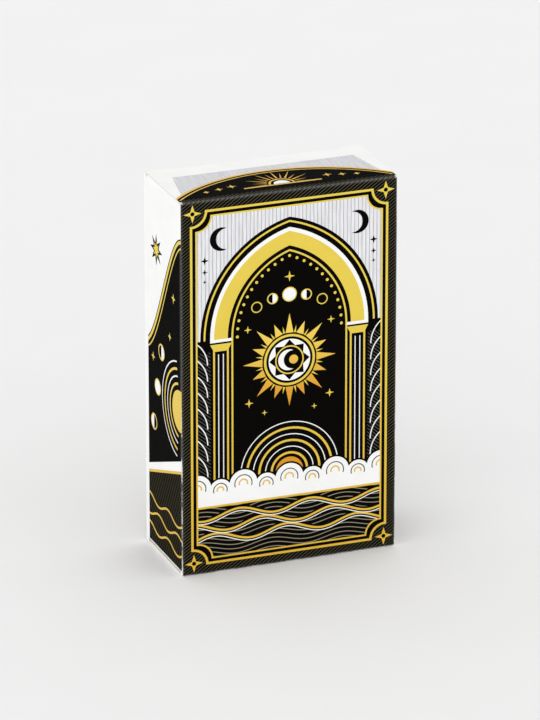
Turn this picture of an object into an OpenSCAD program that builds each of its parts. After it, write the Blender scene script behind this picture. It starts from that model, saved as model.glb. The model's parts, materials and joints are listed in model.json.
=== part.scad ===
// Tarot deck in a printed tuck-top carton: folded board panels, seventy-eight cards and a stitched booklet.
// Millimetres. The origin is the middle of the base, +Z is up and the carton's front faces -Y.

/* [Cards] */
// Width of a card
card_w = 70; // [56:0.5:80]
// Height of a card
card_h = 120; // [100:0.5:130]
// Thickness of a card
card_t = 0.31; // [0.25:0.01:0.4]
// Radius of a card's corners
card_corner_r = 4; // [2:0.5:8]
// Air between two cards of a pack
card_air = 0.01; // [0.01:0.01:0.03]
// Air between two packs, and between the cards and the booklet
pack_gap = 0.1; // [0.05:0.05:0.5]

/* [Carton board] */
// Thickness of the board
board_t = 0.45; // [0.35:0.05:0.6]
// Outer radius of every fold
fold_r = 0.9; // [0.75:0.05:1.2]
// Gap between two boards that lie on each other
board_gap = 0.05; // [0.03:0.01:0.1]

/* [Fit of the contents] */
// Clearance at each side of the cards
side_gap = 0.45; // [0.3:0.05:1]
// Clearance in front of the booklet
front_gap = 0.3; // [0.25:0.05:1]
// Clearance between the last card and the tip of the tuck flap
rear_gap = 0.3; // [0.25:0.05:1]
// Clearance under the cards
seat_gap = 0.2; // [0.1:0.05:0.5]
// Room above the cards
headroom = 3.2; // [2.5:0.1:6]

/* [Lid and tuck flap] */
// Inset of the lid's cut edges from the carton's sides
lid_inset = 0.25; // [0.1:0.05:0.5]
// Radius of the lid's rear corners
lid_corner_r = 1.5; // [0.8:0.1:3]
// Length of the tuck flap below its fold
tuck_len = 12; // [10:0.5:13]
// Lean of the tuck flap, inward from upright, in degrees
tuck_lean = 7; // [7:0.5:9]
// Clearance between the tuck flap's fold and the back panel
tuck_gap = 0.3; // [0.25:0.05:0.6]
// Clearance at each side of the tuck flap
tuck_side_gap = 0.6; // [0.4:0.1:2]
// Radius of the tuck flap's corners
tuck_corner_r = 8; // [4:0.5:9]
// Length of the slit at each end of the tuck fold
slit_len = 7; // [4:0.5:12]
// Width of those slits
slit_w = 0.5; // [0.3:0.1:0.8]
// Depth of the back panel's cut edge below the lid's top
back_drop = 0.5; // [0.3:0.1:1]

/* [Dust flaps] */
// Reach of a dust flap in from its fold
dust_len = 20; // [12:0.5:26]
// Slope of its edge beside the lid's fold, in degrees from square
dust_taper = 32; // [30:1:38]
// Width of the slit at each end of its fold
dust_slit = 0.3; // [0.2:0.05:0.5]
// Gap between its root and the lid's fold
dust_front_gap = 0.7; // [0.5:0.1:2]
// Gap between its shoulder and the tuck flap's fold
dust_back_gap = 0.7; // [0.5:0.1:2]
// Step behind its shoulder
dust_step = 3; // [1:0.5:5]
// Radius of its free corners
dust_corner_r = 2.5; // [1:0.5:4]

/* [Glued seams] */
// Width of the glue flap
glue_w = 12; // [8:0.5:16]
// Slope of the glue flap's ends, in degrees from square
glue_taper = 20; // [5:1:35]
// Gap between the glue flap's ends and the folds above and below it
glue_end_gap = 1.5; // [0.5:0.5:5]
// Gap between a bottom flap's cut edge and the panel it reaches
bottom_gap = 0.6; // [0.3:0.1:2]

/* [Booklet] */
// How far the booklet's edges lie inside the cards' edges
booklet_inset = 2; // [1:0.5:10]
// Number of folded sheets in the booklet
sheet_count = 12; // [4:1:16]
// Thickness of a sheet
sheet_t = 0.11; // [0.08:0.01:0.16]
// Air between two sheets
sheet_air = 0.01; // [0.01:0.01:0.03]
// Thickness of the cover
cover_t = 0.22; // [0.15:0.01:0.35]
// Inner radius of the innermost sheet's fold
spine_r = 0.3; // [0.25:0.01:0.5]
// Diameter of the staples' wire
staple_d = 0.4; // [0.3:0.05:0.45]
// Length of a staple's crown
staple_w = 12; // [8:0.5:16]
// Distance of each staple from the booklet's nearer end, as a share of its height
staple_share = 0.25; // [0.15:0.01:0.35]

/* [Hidden] */
$fn = 64;

// The deck: trumps first, then each suit from ace to ten and page to king
TRUMPS = [
    "fool", "magician", "high_priestess", "empress", "emperor", "hierophant", "lovers", "chariot",
    "strength", "hermit", "wheel", "justice", "hanged_man", "death", "temperance", "devil", "tower",
    "star", "moon", "sun", "judgement", "world"
];
SUITS = ["wands", "cups", "swords", "coins"];
COURTS = ["page", "knight", "queen", "king"];
pip_count = 10;
suit_count = pip_count + len(COURTS);

// Levels of the boards, from the base upward
inner_flap_z = board_t + board_gap;
side_low = 2 * (board_t + board_gap);
seat_z = side_low + board_t + seat_gap;
card_top = seat_z + card_h;
side_high = card_top + headroom + board_t;
box_h = side_high + board_gap + board_t;

// The booklet's outline
booklet_w = card_w - 2 * booklet_inset;
booklet_h = card_h - 2 * booklet_inset;
staple_end = booklet_h * staple_share;

// Depths, from the front backward
tuck_reach = fold_r - (fold_r - board_t) * cos(tuck_lean) + tuck_len * sin(tuck_lean);
booklet_t = 2 * (spine_r + sheet_count * (sheet_t + sheet_air) + cover_t);
card_pitch = card_t + card_air;
trump_pack = pack_depth(len(TRUMPS));
suit_pack = pack_depth(suit_count);
deck_t = trump_pack + len(SUITS) * (pack_gap + suit_pack);
contents_d = front_gap + booklet_t + pack_gap + deck_t + rear_gap;
// The outside depth is made up to a whole number of steps
depth_step = 0.1;
box_d = ceil((2 * board_t + contents_d + tuck_reach + tuck_gap) / depth_step) * depth_step;
half_d = box_d / 2;
booklet_y = -half_d + board_t + front_gap;
trump_y = booklet_y + booklet_t + pack_gap;
tuck_y = half_d - board_t - tuck_gap;

// Widths
box_w = card_w + 2 * (side_gap + 2 * board_t + board_gap);
half_w = box_w / 2;
glue_x = -half_w + board_t + board_gap;
lid_w = box_w - 2 * lid_inset;
tuck_w = card_w + 2 * (side_gap - tuck_side_gap);
tuck_fold_w = tuck_w - 2 * slit_len;

// The part of a right-angle fold that belongs to each of the two panels that share it
half_fold_angle = 45;
fold_in = fold_r - board_t;
corner_h = side_high - inner_flap_z;
corner_z = (side_high + inner_flap_z) / 2;

// Height of the glue flap at its fold
glue_h = side_high - side_low - 2 * (fold_r + glue_end_gap);

// A dust flap's root, along its fold
dust_y0 = -half_d + fold_r + dust_front_gap;
dust_y1 = tuck_y - fold_r - dust_back_gap;

CARTON_NODES = [
    "front_panel", "back_panel", "left_panel", "right_panel", "glue_flap", "lid_panel", "tuck_flap",
    "left_dust_flap", "right_dust_flap", "bottom_outer_flap", "bottom_inner_flap",
    "bottom_left_dust_flap", "bottom_right_dust_flap"
];
BOOKLET_NODES = ["booklet_cover", "booklet_sheets", "booklet_staples"];

// Names of the card nodes
function trump_name(i) = str("trump_", i < 10 ? "0" : "", i, "_", TRUMPS[i]);
function pips_name(suit) = str(suit, "_pips");
function court_name(suit, court) = str(suit, "_", court);

// Places of the cards, front to back
function pack_depth(count) = count * card_t + (count - 1) * card_air;
function suit_y(s) = trump_y + trump_pack + pack_gap + s * (suit_pack + pack_gap);
function card_y(s, place) = suit_y(s) + place * card_pitch;

// A board plate between two opposite corners
module plate(low, high) {
    translate(low) cube(high - low);
}

// One panel's share of a fold. The panel's outer face looks along `face` and meets the fold towards `edge`.
// `middle` is the middle of the fold's centre line.
module fold_share(face, edge, middle, length, angle = half_fold_angle) {
    along = cross(face, edge);
    start = middle - along * length / 2;
    multmatrix([
        [face.x, edge.x, along.x, start.x],
        [face.y, edge.y, along.y, start.y],
        [face.z, edge.z, along.z, start.z]
    ])
        rotate_extrude(angle = angle)
            translate([fold_in, 0]) square([board_t, length]);
}

// What a square corner loses when it is rounded. The corner is at the origin, with the shape towards +X +Y.
module corner_cut(r) {
    difference() {
        translate([-r, -r]) square(2 * r);
        translate([r, r]) circle(r);
        translate([r, -r]) square([r, 2 * r]);
        translate([-r, r]) square([2 * r, r]);
    }
}

module front_panel() {
    x = half_w - fold_r;
    y = -half_d + fold_r;
    color("#151413") {
        plate([-x, -half_d, fold_r], [x, -half_d + board_t, box_h - fold_r]);
        for (side = [-1, 1])
            fold_share([0, -1, 0], [side, 0, 0], [side * x, y, corner_z], corner_h);
        fold_share([0, -1, 0], [0, 0, 1], [0, y, box_h - fold_r], 2 * x);
        fold_share([0, -1, 0], [0, 0, -1], [0, y, fold_r], 2 * x);
    }
}

module back_panel() {
    left = glue_x + fold_r;
    right = half_w - fold_r;
    y = half_d - fold_r;
    low = inner_flap_z + fold_r;
    color("#151413") {
        plate([left, half_d - board_t, low], [right, half_d, box_h - back_drop]);
        fold_share([0, 1, 0], [1, 0, 0], [right, y, corner_z], corner_h);
        fold_share([0, 1, 0], [-1, 0, 0], [left, y, corner_z], glue_h);
        fold_share([0, 1, 0], [0, 0, -1], [(left + right) / 2, y, low], right - left);
    }
}

// A side panel on the left. Its dust flaps fold at its top and bottom, each between two slits.
module side_wall(rear_y) {
    x = -half_w + fold_r;
    y = -half_d + fold_r;
    dust_y = (dust_y0 + dust_y1) / 2;
    dust_w = dust_y1 - dust_y0;
    difference() {
        plate([-half_w, y, inner_flap_z], [-half_w + board_t, rear_y, side_high]);
        for (z = [side_low - fold_r, side_high - fold_r])
            translate([-half_w - board_t, dust_y0 - dust_slit, z])
                cube([3 * board_t, dust_w + 2 * dust_slit, 2 * fold_r]);
    }
    fold_share([-1, 0, 0], [0, -1, 0], [x, y, corner_z], corner_h);
    fold_share([-1, 0, 0], [0, 0, 1], [x, dust_y, side_high - fold_r], dust_w);
    fold_share([-1, 0, 0], [0, 0, -1], [x, dust_y, side_low + fold_r], dust_w);
}

// The blank's last panel: its rear edge is cut, and it laps over the glue flap.
module left_panel() {
    color("#1a1816") side_wall(half_d);
}

module right_panel() {
    y = half_d - fold_r;
    color("#1a1816") mirror([1, 0, 0]) {
        side_wall(y);
        fold_share([-1, 0, 0], [0, 1, 0], [-half_w + fold_r, y, corner_z], corner_h);
    }
}

module glue_flap() {
    y = half_d - fold_r;
    root = glue_h / 2;
    tip = root - glue_w * tan(glue_taper);
    color("#d9d5cb") {
        translate([glue_x, y, corner_z]) rotate([0, 90, 0]) linear_extrude(board_t)
            polygon([[-root, 0], [root, 0], [tip, -glue_w], [-tip, -glue_w]]);
        fold_share([-1, 0, 0], [0, 1, 0], [glue_x + fold_r, y, corner_z], glue_h);
    }
}

module lid_panel() {
    front = -half_d + fold_r;
    rear = tuck_y - fold_r;
    color("#f1f0ee") {
        translate([0, 0, box_h - board_t]) linear_extrude(board_t) difference() {
            translate([-lid_w / 2, front]) square([lid_w, tuck_y - front]);
            translate([-tuck_fold_w / 2 - slit_w, rear])
                square([tuck_fold_w + 2 * slit_w, 2 * fold_r]);
            for (side = [0, 1])
                mirror([side, 0]) translate([lid_w / 2, tuck_y]) rotate(180) corner_cut(lid_corner_r);
        }
        fold_share([0, 0, 1], [0, -1, 0], [0, front, box_h - fold_r], box_w - 2 * fold_r);
        fold_share([0, 0, 1], [0, 1, 0], [0, rear, box_h - fold_r], tuck_fold_w);
    }
}

// The tuck flap hangs from its fold's centre line and leans in. The slits free its shoulders from the lid.
module tuck_flap() {
    color("#191817")
        translate([0, tuck_y - fold_r, box_h - fold_r]) rotate([-tuck_lean, 0, 0]) {
            translate([0, fold_r, 0]) rotate([90, 0, 0]) linear_extrude(board_t) difference() {
                translate([-tuck_w / 2, -tuck_len]) square([tuck_w, tuck_len]);
                for (side = [0, 1]) mirror([side, 0]) {
                    translate([tuck_fold_w / 2, -slit_w]) square([slit_len + slit_w, 2 * slit_w]);
                    translate([-tuck_w / 2, -tuck_len]) corner_cut(tuck_corner_r);
                }
            }
            fold_share([0, 1, 0], [0, 0, 1], [0, 0, 0], tuck_fold_w, half_fold_angle + tuck_lean);
        }
}

// Outline of a top dust flap on the left: its root is on the Y axis and it reaches towards +X.
module dust_outline() {
    slope = dust_len * tan(dust_taper);
    difference() {
        polygon([
            [0, dust_y0], [dust_len, dust_y0 + slope], [dust_len, dust_y1 - dust_step],
            [slit_len + dust_step, dust_y1 - dust_step], [slit_len, dust_y1], [0, dust_y1]
        ]);
        translate([dust_len, dust_y1 - dust_step]) rotate(180) corner_cut(dust_corner_r);
    }
}

// A top dust flap on the left
module dust_flap() {
    x = -half_w + fold_r;
    color("#e4e1d9") {
        translate([x, 0, side_high - board_t]) linear_extrude(board_t) dust_outline();
        fold_share(
            [0, 0, 1], [-1, 0, 0], [x, (dust_y0 + dust_y1) / 2, side_high - fold_r], dust_y1 - dust_y0
        );
    }
}

module left_dust_flap() {
    dust_flap();
}

module right_dust_flap() {
    mirror([1, 0, 0]) dust_flap();
}

module bottom_outer_flap() {
    front = -half_d + fold_r;
    color("#151413") {
        plate([-lid_w / 2, front, 0], [lid_w / 2, half_d - bottom_gap, board_t]);
        fold_share([0, 0, -1], [0, -1, 0], [0, front, fold_r], box_w - 2 * fold_r);
    }
}

module bottom_inner_flap() {
    left = glue_x + fold_r;
    right = half_w - fold_r;
    rear = half_d - fold_r;
    z = inner_flap_z;
    color("#d9d5cb") {
        plate([left, -half_d + board_t + bottom_gap, z], [right, rear, z + board_t]);
        fold_share([0, 0, -1], [0, 1, 0], [(left + right) / 2, rear, z + fold_r], right - left);
    }
}

// A bottom dust flap on the left, tapered alike at both edges
module bottom_dust_flap() {
    x = -half_w + fold_r;
    root = (dust_y1 - dust_y0) / 2;
    middle = (dust_y1 + dust_y0) / 2;
    tip = root - dust_len * tan(glue_taper);
    color("#d9d5cb") {
        translate([x, middle, side_low]) linear_extrude(board_t)
            polygon([[0, -root], [dust_len, -tip], [dust_len, tip], [0, root]]);
        fold_share([0, 0, -1], [-1, 0, 0], [x, middle, side_low + fold_r], 2 * root);
    }
}

module bottom_left_dust_flap() {
    bottom_dust_flap();
}

module bottom_right_dust_flap() {
    mirror([1, 0, 0]) bottom_dust_flap();
}

// A folded sheet or cover: two leaves joined round the spine
module folded_sheet(inner_r, thick) {
    spine_x = -booklet_w / 2 + booklet_t / 2;
    translate([spine_x, booklet_y + booklet_t / 2, seat_z]) {
        rotate([0, 0, 90]) rotate_extrude(angle = 180) translate([inner_r, 0]) square([thick, booklet_h]);
        for (leaf_y = [inner_r, -inner_r - thick])
            translate([0, leaf_y, 0]) cube([booklet_w / 2 - spine_x, thick, booklet_h]);
    }
}

module booklet_cover() {
    color("#26221f") folded_sheet(booklet_t / 2 - cover_t, cover_t);
}

module booklet_sheets() {
    color("#f4f1e8")
        for (i = [0 : sheet_count - 1])
            folded_sheet(spine_r + i * (sheet_t + sheet_air), sheet_t);
}

// A staple: its crown lies along the spine outside, and its legs go through and fold flat inside.
module staple() {
    crown_x = -booklet_w / 2 - staple_d / 2;
    clinch_x = -booklet_w / 2 + booklet_t / 2;
    clinch = staple_w / 2 - staple_d;
    translate([crown_x, 0, -staple_w / 2]) cylinder(d = staple_d, h = staple_w);
    for (side = [-1, 1]) {
        z = side * staple_w / 2;
        for (x = [crown_x, clinch_x])
            translate([x, 0, z]) sphere(d = staple_d);
        translate([crown_x, 0, z]) rotate([0, 90, 0]) cylinder(d = staple_d, h = clinch_x - crown_x);
        translate([clinch_x, 0, side > 0 ? z - clinch : z]) cylinder(d = staple_d, h = clinch);
    }
}

module booklet_staples() {
    color("#b9bbbd")
        for (z = [staple_end, booklet_h - staple_end])
            translate([0, booklet_y + booklet_t / 2, seat_z + z]) staple();
}

// One card, its front at depth y
module card(y) {
    translate([0, y + card_t, seat_z + card_h / 2]) rotate([90, 0, 0]) linear_extrude(card_t) difference() {
        square([card_w, card_h], center = true);
        for (x = [0, 1]) for (z = [0, 1])
            mirror([x, 0]) mirror([0, z])
                translate([-card_w / 2, -card_h / 2]) corner_cut(card_corner_r);
    }
}

module trump(i) {
    color("#efe6cf") card(trump_y + i * card_pitch);
}

module pips(s) {
    color("#efe6cf")
        for (place = [0 : pip_count - 1]) card(card_y(s, place));
}

module court(s, rank) {
    color("#efe6cf") card(card_y(s, pip_count + rank));
}

front_panel();
back_panel();
left_panel();
right_panel();
glue_flap();
lid_panel();
tuck_flap();
left_dust_flap();
right_dust_flap();
bottom_outer_flap();
bottom_inner_flap();
bottom_left_dust_flap();
bottom_right_dust_flap();
booklet_cover();
booklet_sheets();
booklet_staples();
for (i = [0 : len(TRUMPS) - 1])
    trump(i);
for (s = [0 : len(SUITS) - 1])
    pips(s);
for (s = [0 : len(SUITS) - 1]) for (rank = [0 : len(COURTS) - 1])
    court(s, rank);
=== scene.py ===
"""Looks of a tarot deck in its printed tuck-top carton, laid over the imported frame.

The carton's printed panels are drawn flat, given the board's thickness and folded into place.
The cards, the booklet and the inner flaps keep their own solids and are dressed here.
"""

import json
import logging
import math
from collections.abc import Callable
from dataclasses import dataclass, field
from enum import Enum

import bmesh
import bpy
from bmesh.types import BMesh
from bpy.types import Material, Node, NodeOutputs, NodeSocket, NodeTree, Object
from mathutils import Matrix, Vector
from mathutils.geometry import delaunay_2d_cdt


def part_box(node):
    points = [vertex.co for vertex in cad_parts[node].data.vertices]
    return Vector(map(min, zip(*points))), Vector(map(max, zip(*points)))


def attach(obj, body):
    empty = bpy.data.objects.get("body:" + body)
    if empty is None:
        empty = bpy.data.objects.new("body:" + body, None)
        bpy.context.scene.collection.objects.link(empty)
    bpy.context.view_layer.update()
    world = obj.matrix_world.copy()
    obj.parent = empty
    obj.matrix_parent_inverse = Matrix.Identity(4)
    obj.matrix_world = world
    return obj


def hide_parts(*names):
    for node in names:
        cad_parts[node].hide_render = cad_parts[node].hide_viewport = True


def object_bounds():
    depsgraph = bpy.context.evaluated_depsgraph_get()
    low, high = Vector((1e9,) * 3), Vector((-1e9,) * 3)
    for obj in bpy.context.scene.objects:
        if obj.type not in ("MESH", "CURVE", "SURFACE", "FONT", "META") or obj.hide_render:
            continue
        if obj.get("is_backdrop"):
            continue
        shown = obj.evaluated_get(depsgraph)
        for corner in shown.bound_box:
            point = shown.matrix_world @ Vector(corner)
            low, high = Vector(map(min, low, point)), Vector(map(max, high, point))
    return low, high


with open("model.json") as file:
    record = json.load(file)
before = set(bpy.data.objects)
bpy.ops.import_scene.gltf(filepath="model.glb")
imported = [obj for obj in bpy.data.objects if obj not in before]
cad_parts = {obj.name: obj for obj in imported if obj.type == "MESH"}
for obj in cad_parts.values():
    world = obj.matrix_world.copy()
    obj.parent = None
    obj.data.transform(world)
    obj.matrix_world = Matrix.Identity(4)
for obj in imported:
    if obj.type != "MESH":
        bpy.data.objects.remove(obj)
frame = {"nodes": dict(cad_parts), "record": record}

MM = 0.001
RIGHTWARD = Vector((1, 0, 0))
REARWARD = Vector((0, 1, 0))
UPWARD = Vector((0, 0, 1))
PRINT_MAP = "print"
CREASE = "crease"
NUMBER = "NodeSocketFloat"
COLOUR = "NodeSocketColor"
HALF_FOLD = 45.0
FINE_CIRCLE = 48
MOON_CIRCLE = 28
LIMB_SHARE = 0.98
HORN_REACH = 118.0
BITE_SHIFT = 0.42
Point = tuple[float, float]
Triple = tuple[float, float, float]
log = logging.getLogger("tarot_carton")


class Ink(Enum):
    """What a patch of a panel carries: a printed ink, a printed line screen, or the bare board."""

    BLACK = "black_print"
    GOLD = "gold_print"
    AMBER = "amber_print"
    WHITE = "white_print"
    SILVER = "silver_print"
    FINE_SILVER = "fine_silver_print"
    HATCH = "hatch_print"
    GREY_HATCH = "grey_hatch_print"
    SIDE_HATCH = "side_hatch_print"
    RIPPLE = "ripple_print"
    BOARD = "bare_board"


class Side(Enum):
    """An edge of a flat panel, as the axis it closes and the way it lies along that axis."""

    LEFT = (0, -1)
    RIGHT = (0, 1)
    LOW = (1, -1)
    HIGH = (1, 1)


class Effect(Enum):
    """The node groups that several finishes share."""

    LINE_SCREEN = "line_screen"
    PRINT_SURFACE = "print_surface"
    PAPER_FIBRE = "paper_fibre"
    FRAMED_FIELD = "framed_field"


def linear(code: str) -> tuple[float, float, float, float]:
    """Turn a colour written as #rrggbb into linear light.

    Args:
        code: The colour as it should show on a screen.

    Returns:
        Red, green, blue and an alpha of one.
    """
    parts = [int(code[i : i + 2], 16) / 255 for i in (1, 3, 5)]
    light = [p / 12.92 if p <= 0.04045 else ((p + 0.055) / 1.055) ** 2.4 for p in parts]
    return (*light, 1.0)


def polar(centre: Point, radius: float, angle: float) -> Point:
    """Return the point at a distance from a centre, at an angle in degrees."""
    turn = math.radians(angle)
    return (centre[0] + radius * math.cos(turn), centre[1] + radius * math.sin(turn))


def arc(centre: Point, radius: float, start: float, sweep: float, steps: int) -> list[Point]:
    """Return the points of an arc of so many chords, from a start over a sweep, both in degrees."""
    return [polar(centre, radius, start + sweep * i / steps) for i in range(steps + 1)]


def mirror(path: list[Point]) -> list[Point]:
    """Return a path mirrored across the panel's middle, from its last point to its first."""
    return [(-u, v) for u, v in reversed(path)]


def offset(points: list[Point], distance: float, closed: bool = False) -> list[Point]:
    """Move a path sideways, with mitred corners.

    Args:
        points: The path.
        distance: How far it moves to its left.
        closed: Whether its last point joins its first.

    Returns:
        As many points as the path has.
    """
    moved = []
    last = len(points) - 1
    for i, point in enumerate(points):
        before = points[i - 1] if i > 0 or closed else None
        after = points[(i + 1) % len(points)] if i < last or closed else None
        normals = []
        for a, b in ((before, point), (point, after)):
            if a is not None and b is not None:
                run = math.dist(a, b)
                normals.append(((a[1] - b[1]) / run, (b[0] - a[0]) / run))
        first, second = normals[0], normals[-1]
        scale = distance / (1 + first[0] * second[0] + first[1] * second[1])
        shift = [(a + b) * scale for a, b in zip(first, second)]
        moved.append((point[0] + shift[0], point[1] + shift[1]))
    return moved


def notched_frame(low: Point, high: Point, notch: float, steps: int = 10) -> list[Point]:
    """Return a rectangle, anticlockwise, whose corners are cut back by quarter circles."""
    corners = ((low, 90.0), ((high[0], low[1]), 180.0), (high, 270.0), ((low[0], high[1]), 360.0))
    return [point for corner, start in corners for point in arc(corner, notch, start, -90, steps)]


def pointed_arch(half: float, lean: float, foot: float, spring: float, steps: int = 24) -> list[Point]:
    """A pointed arch, as an open path over the middle of a panel.

    Args:
        half: Half its width.
        lean: How far each arc's centre lies beyond the middle.
        foot: Height of its feet.
        spring: Height where its arcs begin.
        steps: Chords in each arc.

    Returns:
        The path from its right foot over the tip to its left foot.
    """
    radius = half + lean
    sweep = math.degrees(math.acos(lean / radius))
    right = arc((-lean, spring), radius, 0, sweep, steps)
    if foot < spring:
        right.insert(0, (half, foot))
    return right + mirror(right[:-1])


@dataclass(frozen=True)
class Swell:
    """A rolling line, by the height of its crests, the distance between them and its chords."""

    height: float
    period: float
    steps: int

    def path(self, start: Point, length: float, phase: float) -> list[Point]:
        """Run the line from left to right.

        Args:
            start: Its left end, at mid height.
            length: How far it runs.
            phase: Where in a period it begins, in periods.

        Returns:
            The open path.
        """
        path = []
        for i in range(self.steps + 1):
            along = length * i / self.steps
            turn = 2 * math.pi * (along / self.period + phase)
            path.append((start[0] + along, start[1] + self.height * math.sin(turn)))
        return path


@dataclass
class Sketch:
    """Shapes of print on a flat panel, in millimetres, each laid over those before it."""

    shapes: list[tuple[Ink, list[Point]]] = field(default_factory=list, init=False)

    def fill(self, ink: Ink, points: list[Point]) -> None:
        """Lay a closed shape, whose outline may run either way round."""
        area = sum(a[0] * b[1] - b[0] * a[1] for a, b in zip(points, points[1:] + points[:1]))
        self.shapes.append((ink, points if area > 0 else points[::-1]))

    def rect(self, ink: Ink, low: Point, high: Point) -> None:
        """Lay a rectangle between two corners."""
        self.fill(ink, [low, (high[0], low[1]), high, (low[0], high[1])])

    def disc(self, ink: Ink, centre: Point, radius: float, steps: int = 36) -> None:
        """Lay a disc."""
        self.fill(ink, arc(centre, radius, 0, 360, steps)[:-1])

    def line(self, ink: Ink, path: list[Point], width: float) -> None:
        """Lay a line of even width along an open path."""
        self.fill(ink, offset(path, -width / 2) + offset(path, width / 2)[::-1])

    def loop(self, ink: Ink, path: list[Point], width: float) -> None:
        """Lay a line of even width along a closed path, as two halves.

        Args:
            ink: What it carries.
            path: The path, whose last point joins its first.
            width: The line's width.
        """
        inner = offset(path, width / 2, closed=True)
        outer = offset(path, -width / 2, closed=True)
        middle = len(path) // 2
        self.fill(ink, outer[: middle + 1] + inner[: middle + 1][::-1])
        self.fill(ink, outer[middle:] + outer[:1] + (inner[middle:] + inner[:1])[::-1])

    def ring(self, ink: Ink, centre: Point, radius: float, width: float, steps: int = 36) -> None:
        """Lay a ring of a middle radius and a width."""
        self.loop(ink, arc(centre, radius, 0, 360, steps)[:-1], width)

    def surround(self, ink: Ink, notched: list[Point], low: Point, high: Point) -> None:
        """Lay everything between a rectangle and a notched frame inside it, as a left and a right half.

        Args:
            ink: What it carries.
            notched: The frame, as notched_frame gives it.
            low: The rectangle's lower left corner.
            high: Its upper right corner.
        """
        quarter = len(notched) // 4
        middle = (low[0] + high[0]) / 2
        foot, head = (middle, low[1]), (middle, high[1])
        bottom = (middle, notched[quarter - 1][1])
        top = (middle, notched[3 * quarter - 1][1])
        right = notched[quarter : 3 * quarter]
        left = notched[3 * quarter :] + notched[:quarter]
        self.fill(ink, [foot, (high[0], low[1]), high, head, top, *right[::-1], bottom])
        self.fill(ink, [head, (low[0], high[1]), low, foot, bottom, *left[::-1], top])

    def star(self, ink: Ink, centre: Point, outer: float, inner: float, tips: int = 4) -> None:
        """Lay a star with its first point upwards, by the radii of its points and of the corners between."""
        points = [polar(centre, (outer, inner)[i % 2], 90 + 180 * i / tips) for i in range(2 * tips)]
        self.fill(ink, points)

    def crescent(self, ink: Ink, centre: Point, radius: float, turn: float, steps: int = 20) -> None:
        """Lay a crescent moon.

        Args:
            ink: What it carries.
            centre: Centre of its outer edge.
            radius: Radius of its outer edge.
            turn: The way that its back looks, in degrees.
            steps: Chords in each of its edges.
        """
        back = arc(centre, radius, turn - HORN_REACH, 2 * HORN_REACH, steps)
        bite = polar(centre, BITE_SHIFT * radius, turn + 180)
        rise = math.degrees(math.atan2(back[0][1] - bite[1], back[0][0] - bite[0]))
        half = (turn - rise) % 360
        front = arc(bite, math.dist(bite, back[0]), turn + half, -2 * half, steps)
        self.fill(ink, back + front[1:-1])

    def moon(self, centre: Point, radius: float, shade: float, rim: float) -> None:
        """Lay a moon in one of its phases, ringed in gold.

        Args:
            centre: Its centre.
            radius: Its radius, without the rim.
            shade: Share of its width in shadow: positive from the right, negative from the left.
            rim: Width of the rim.
        """
        self.disc(Ink.GOLD, centre, radius + rim, MOON_CIRCLE)
        self.disc(Ink.BLACK if abs(shade) >= 1 else Ink.WHITE, centre, radius, MOON_CIRCLE)
        if 0 < abs(shade) < 1:
            toward = 0 if shade > 0 else 180
            limb = arc(centre, radius * LIMB_SHARE, toward - 90, 180, MOON_CIRCLE // 2)
            squash = 1 - 2 * abs(shade)
            edge = [(centre[0] + (u - centre[0]) * squash, v) for u, v in reversed(limb[1:-1])]
            self.fill(Ink.BLACK, limb + edge)


@dataclass(frozen=True)
class Bows:
    """Nested bows, gold and white in turn, by their radii, their angles and their two widths of line."""

    first: float
    step: float
    count: int
    start: float
    sweep: float
    steps: int
    lines: Point

    def draw(self, sketch: Sketch, centre: Point) -> None:
        """Draw the bows.

        Args:
            sketch: Where they are drawn.
            centre: Their centre.
        """
        for i in range(self.count):
            path = arc(centre, self.first + self.step * i, self.start, self.sweep, self.steps)
            sketch.line((Ink.GOLD, Ink.WHITE)[i % 2], path, self.lines[i % 2])


@dataclass(frozen=True)
class Rays:
    """Tapering rays, by their inks, their number, the radii of their feet and tips, and their angles."""

    inks: tuple[Ink, ...]
    count: int
    inner: float
    outer: tuple[float, ...]
    spread: float
    start: float = 90.0
    sweep: float = 360.0

    def draw(self, sketch: Sketch, centre: Point) -> None:
        """Draw the rays, whose inks and tips take turns and whose feet fill a share of the room they have.

        Args:
            sketch: Where they are drawn.
            centre: Where they come from.
        """
        step = self.sweep / self.count
        half = step * self.spread / 2
        for i in range(self.count):
            middle = self.start + step * i
            feet = [polar(centre, self.inner, middle + side * half) for side in (-1, 1)]
            tip = polar(centre, self.outer[i % len(self.outer)], middle)
            sketch.fill(self.inks[i % len(self.inks)], [feet[0], tip, feet[1]])


@dataclass(frozen=True)
class Grain:
    """A cloudy noise: its waves per millimetre, how rough it is, the range used and what that gives."""

    scale: float
    detail: float = 3.0
    roughness: float = 0.55
    low: float = 0.3
    high: float = 0.7
    first: float = 0.0
    last: float = 1.0


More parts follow.
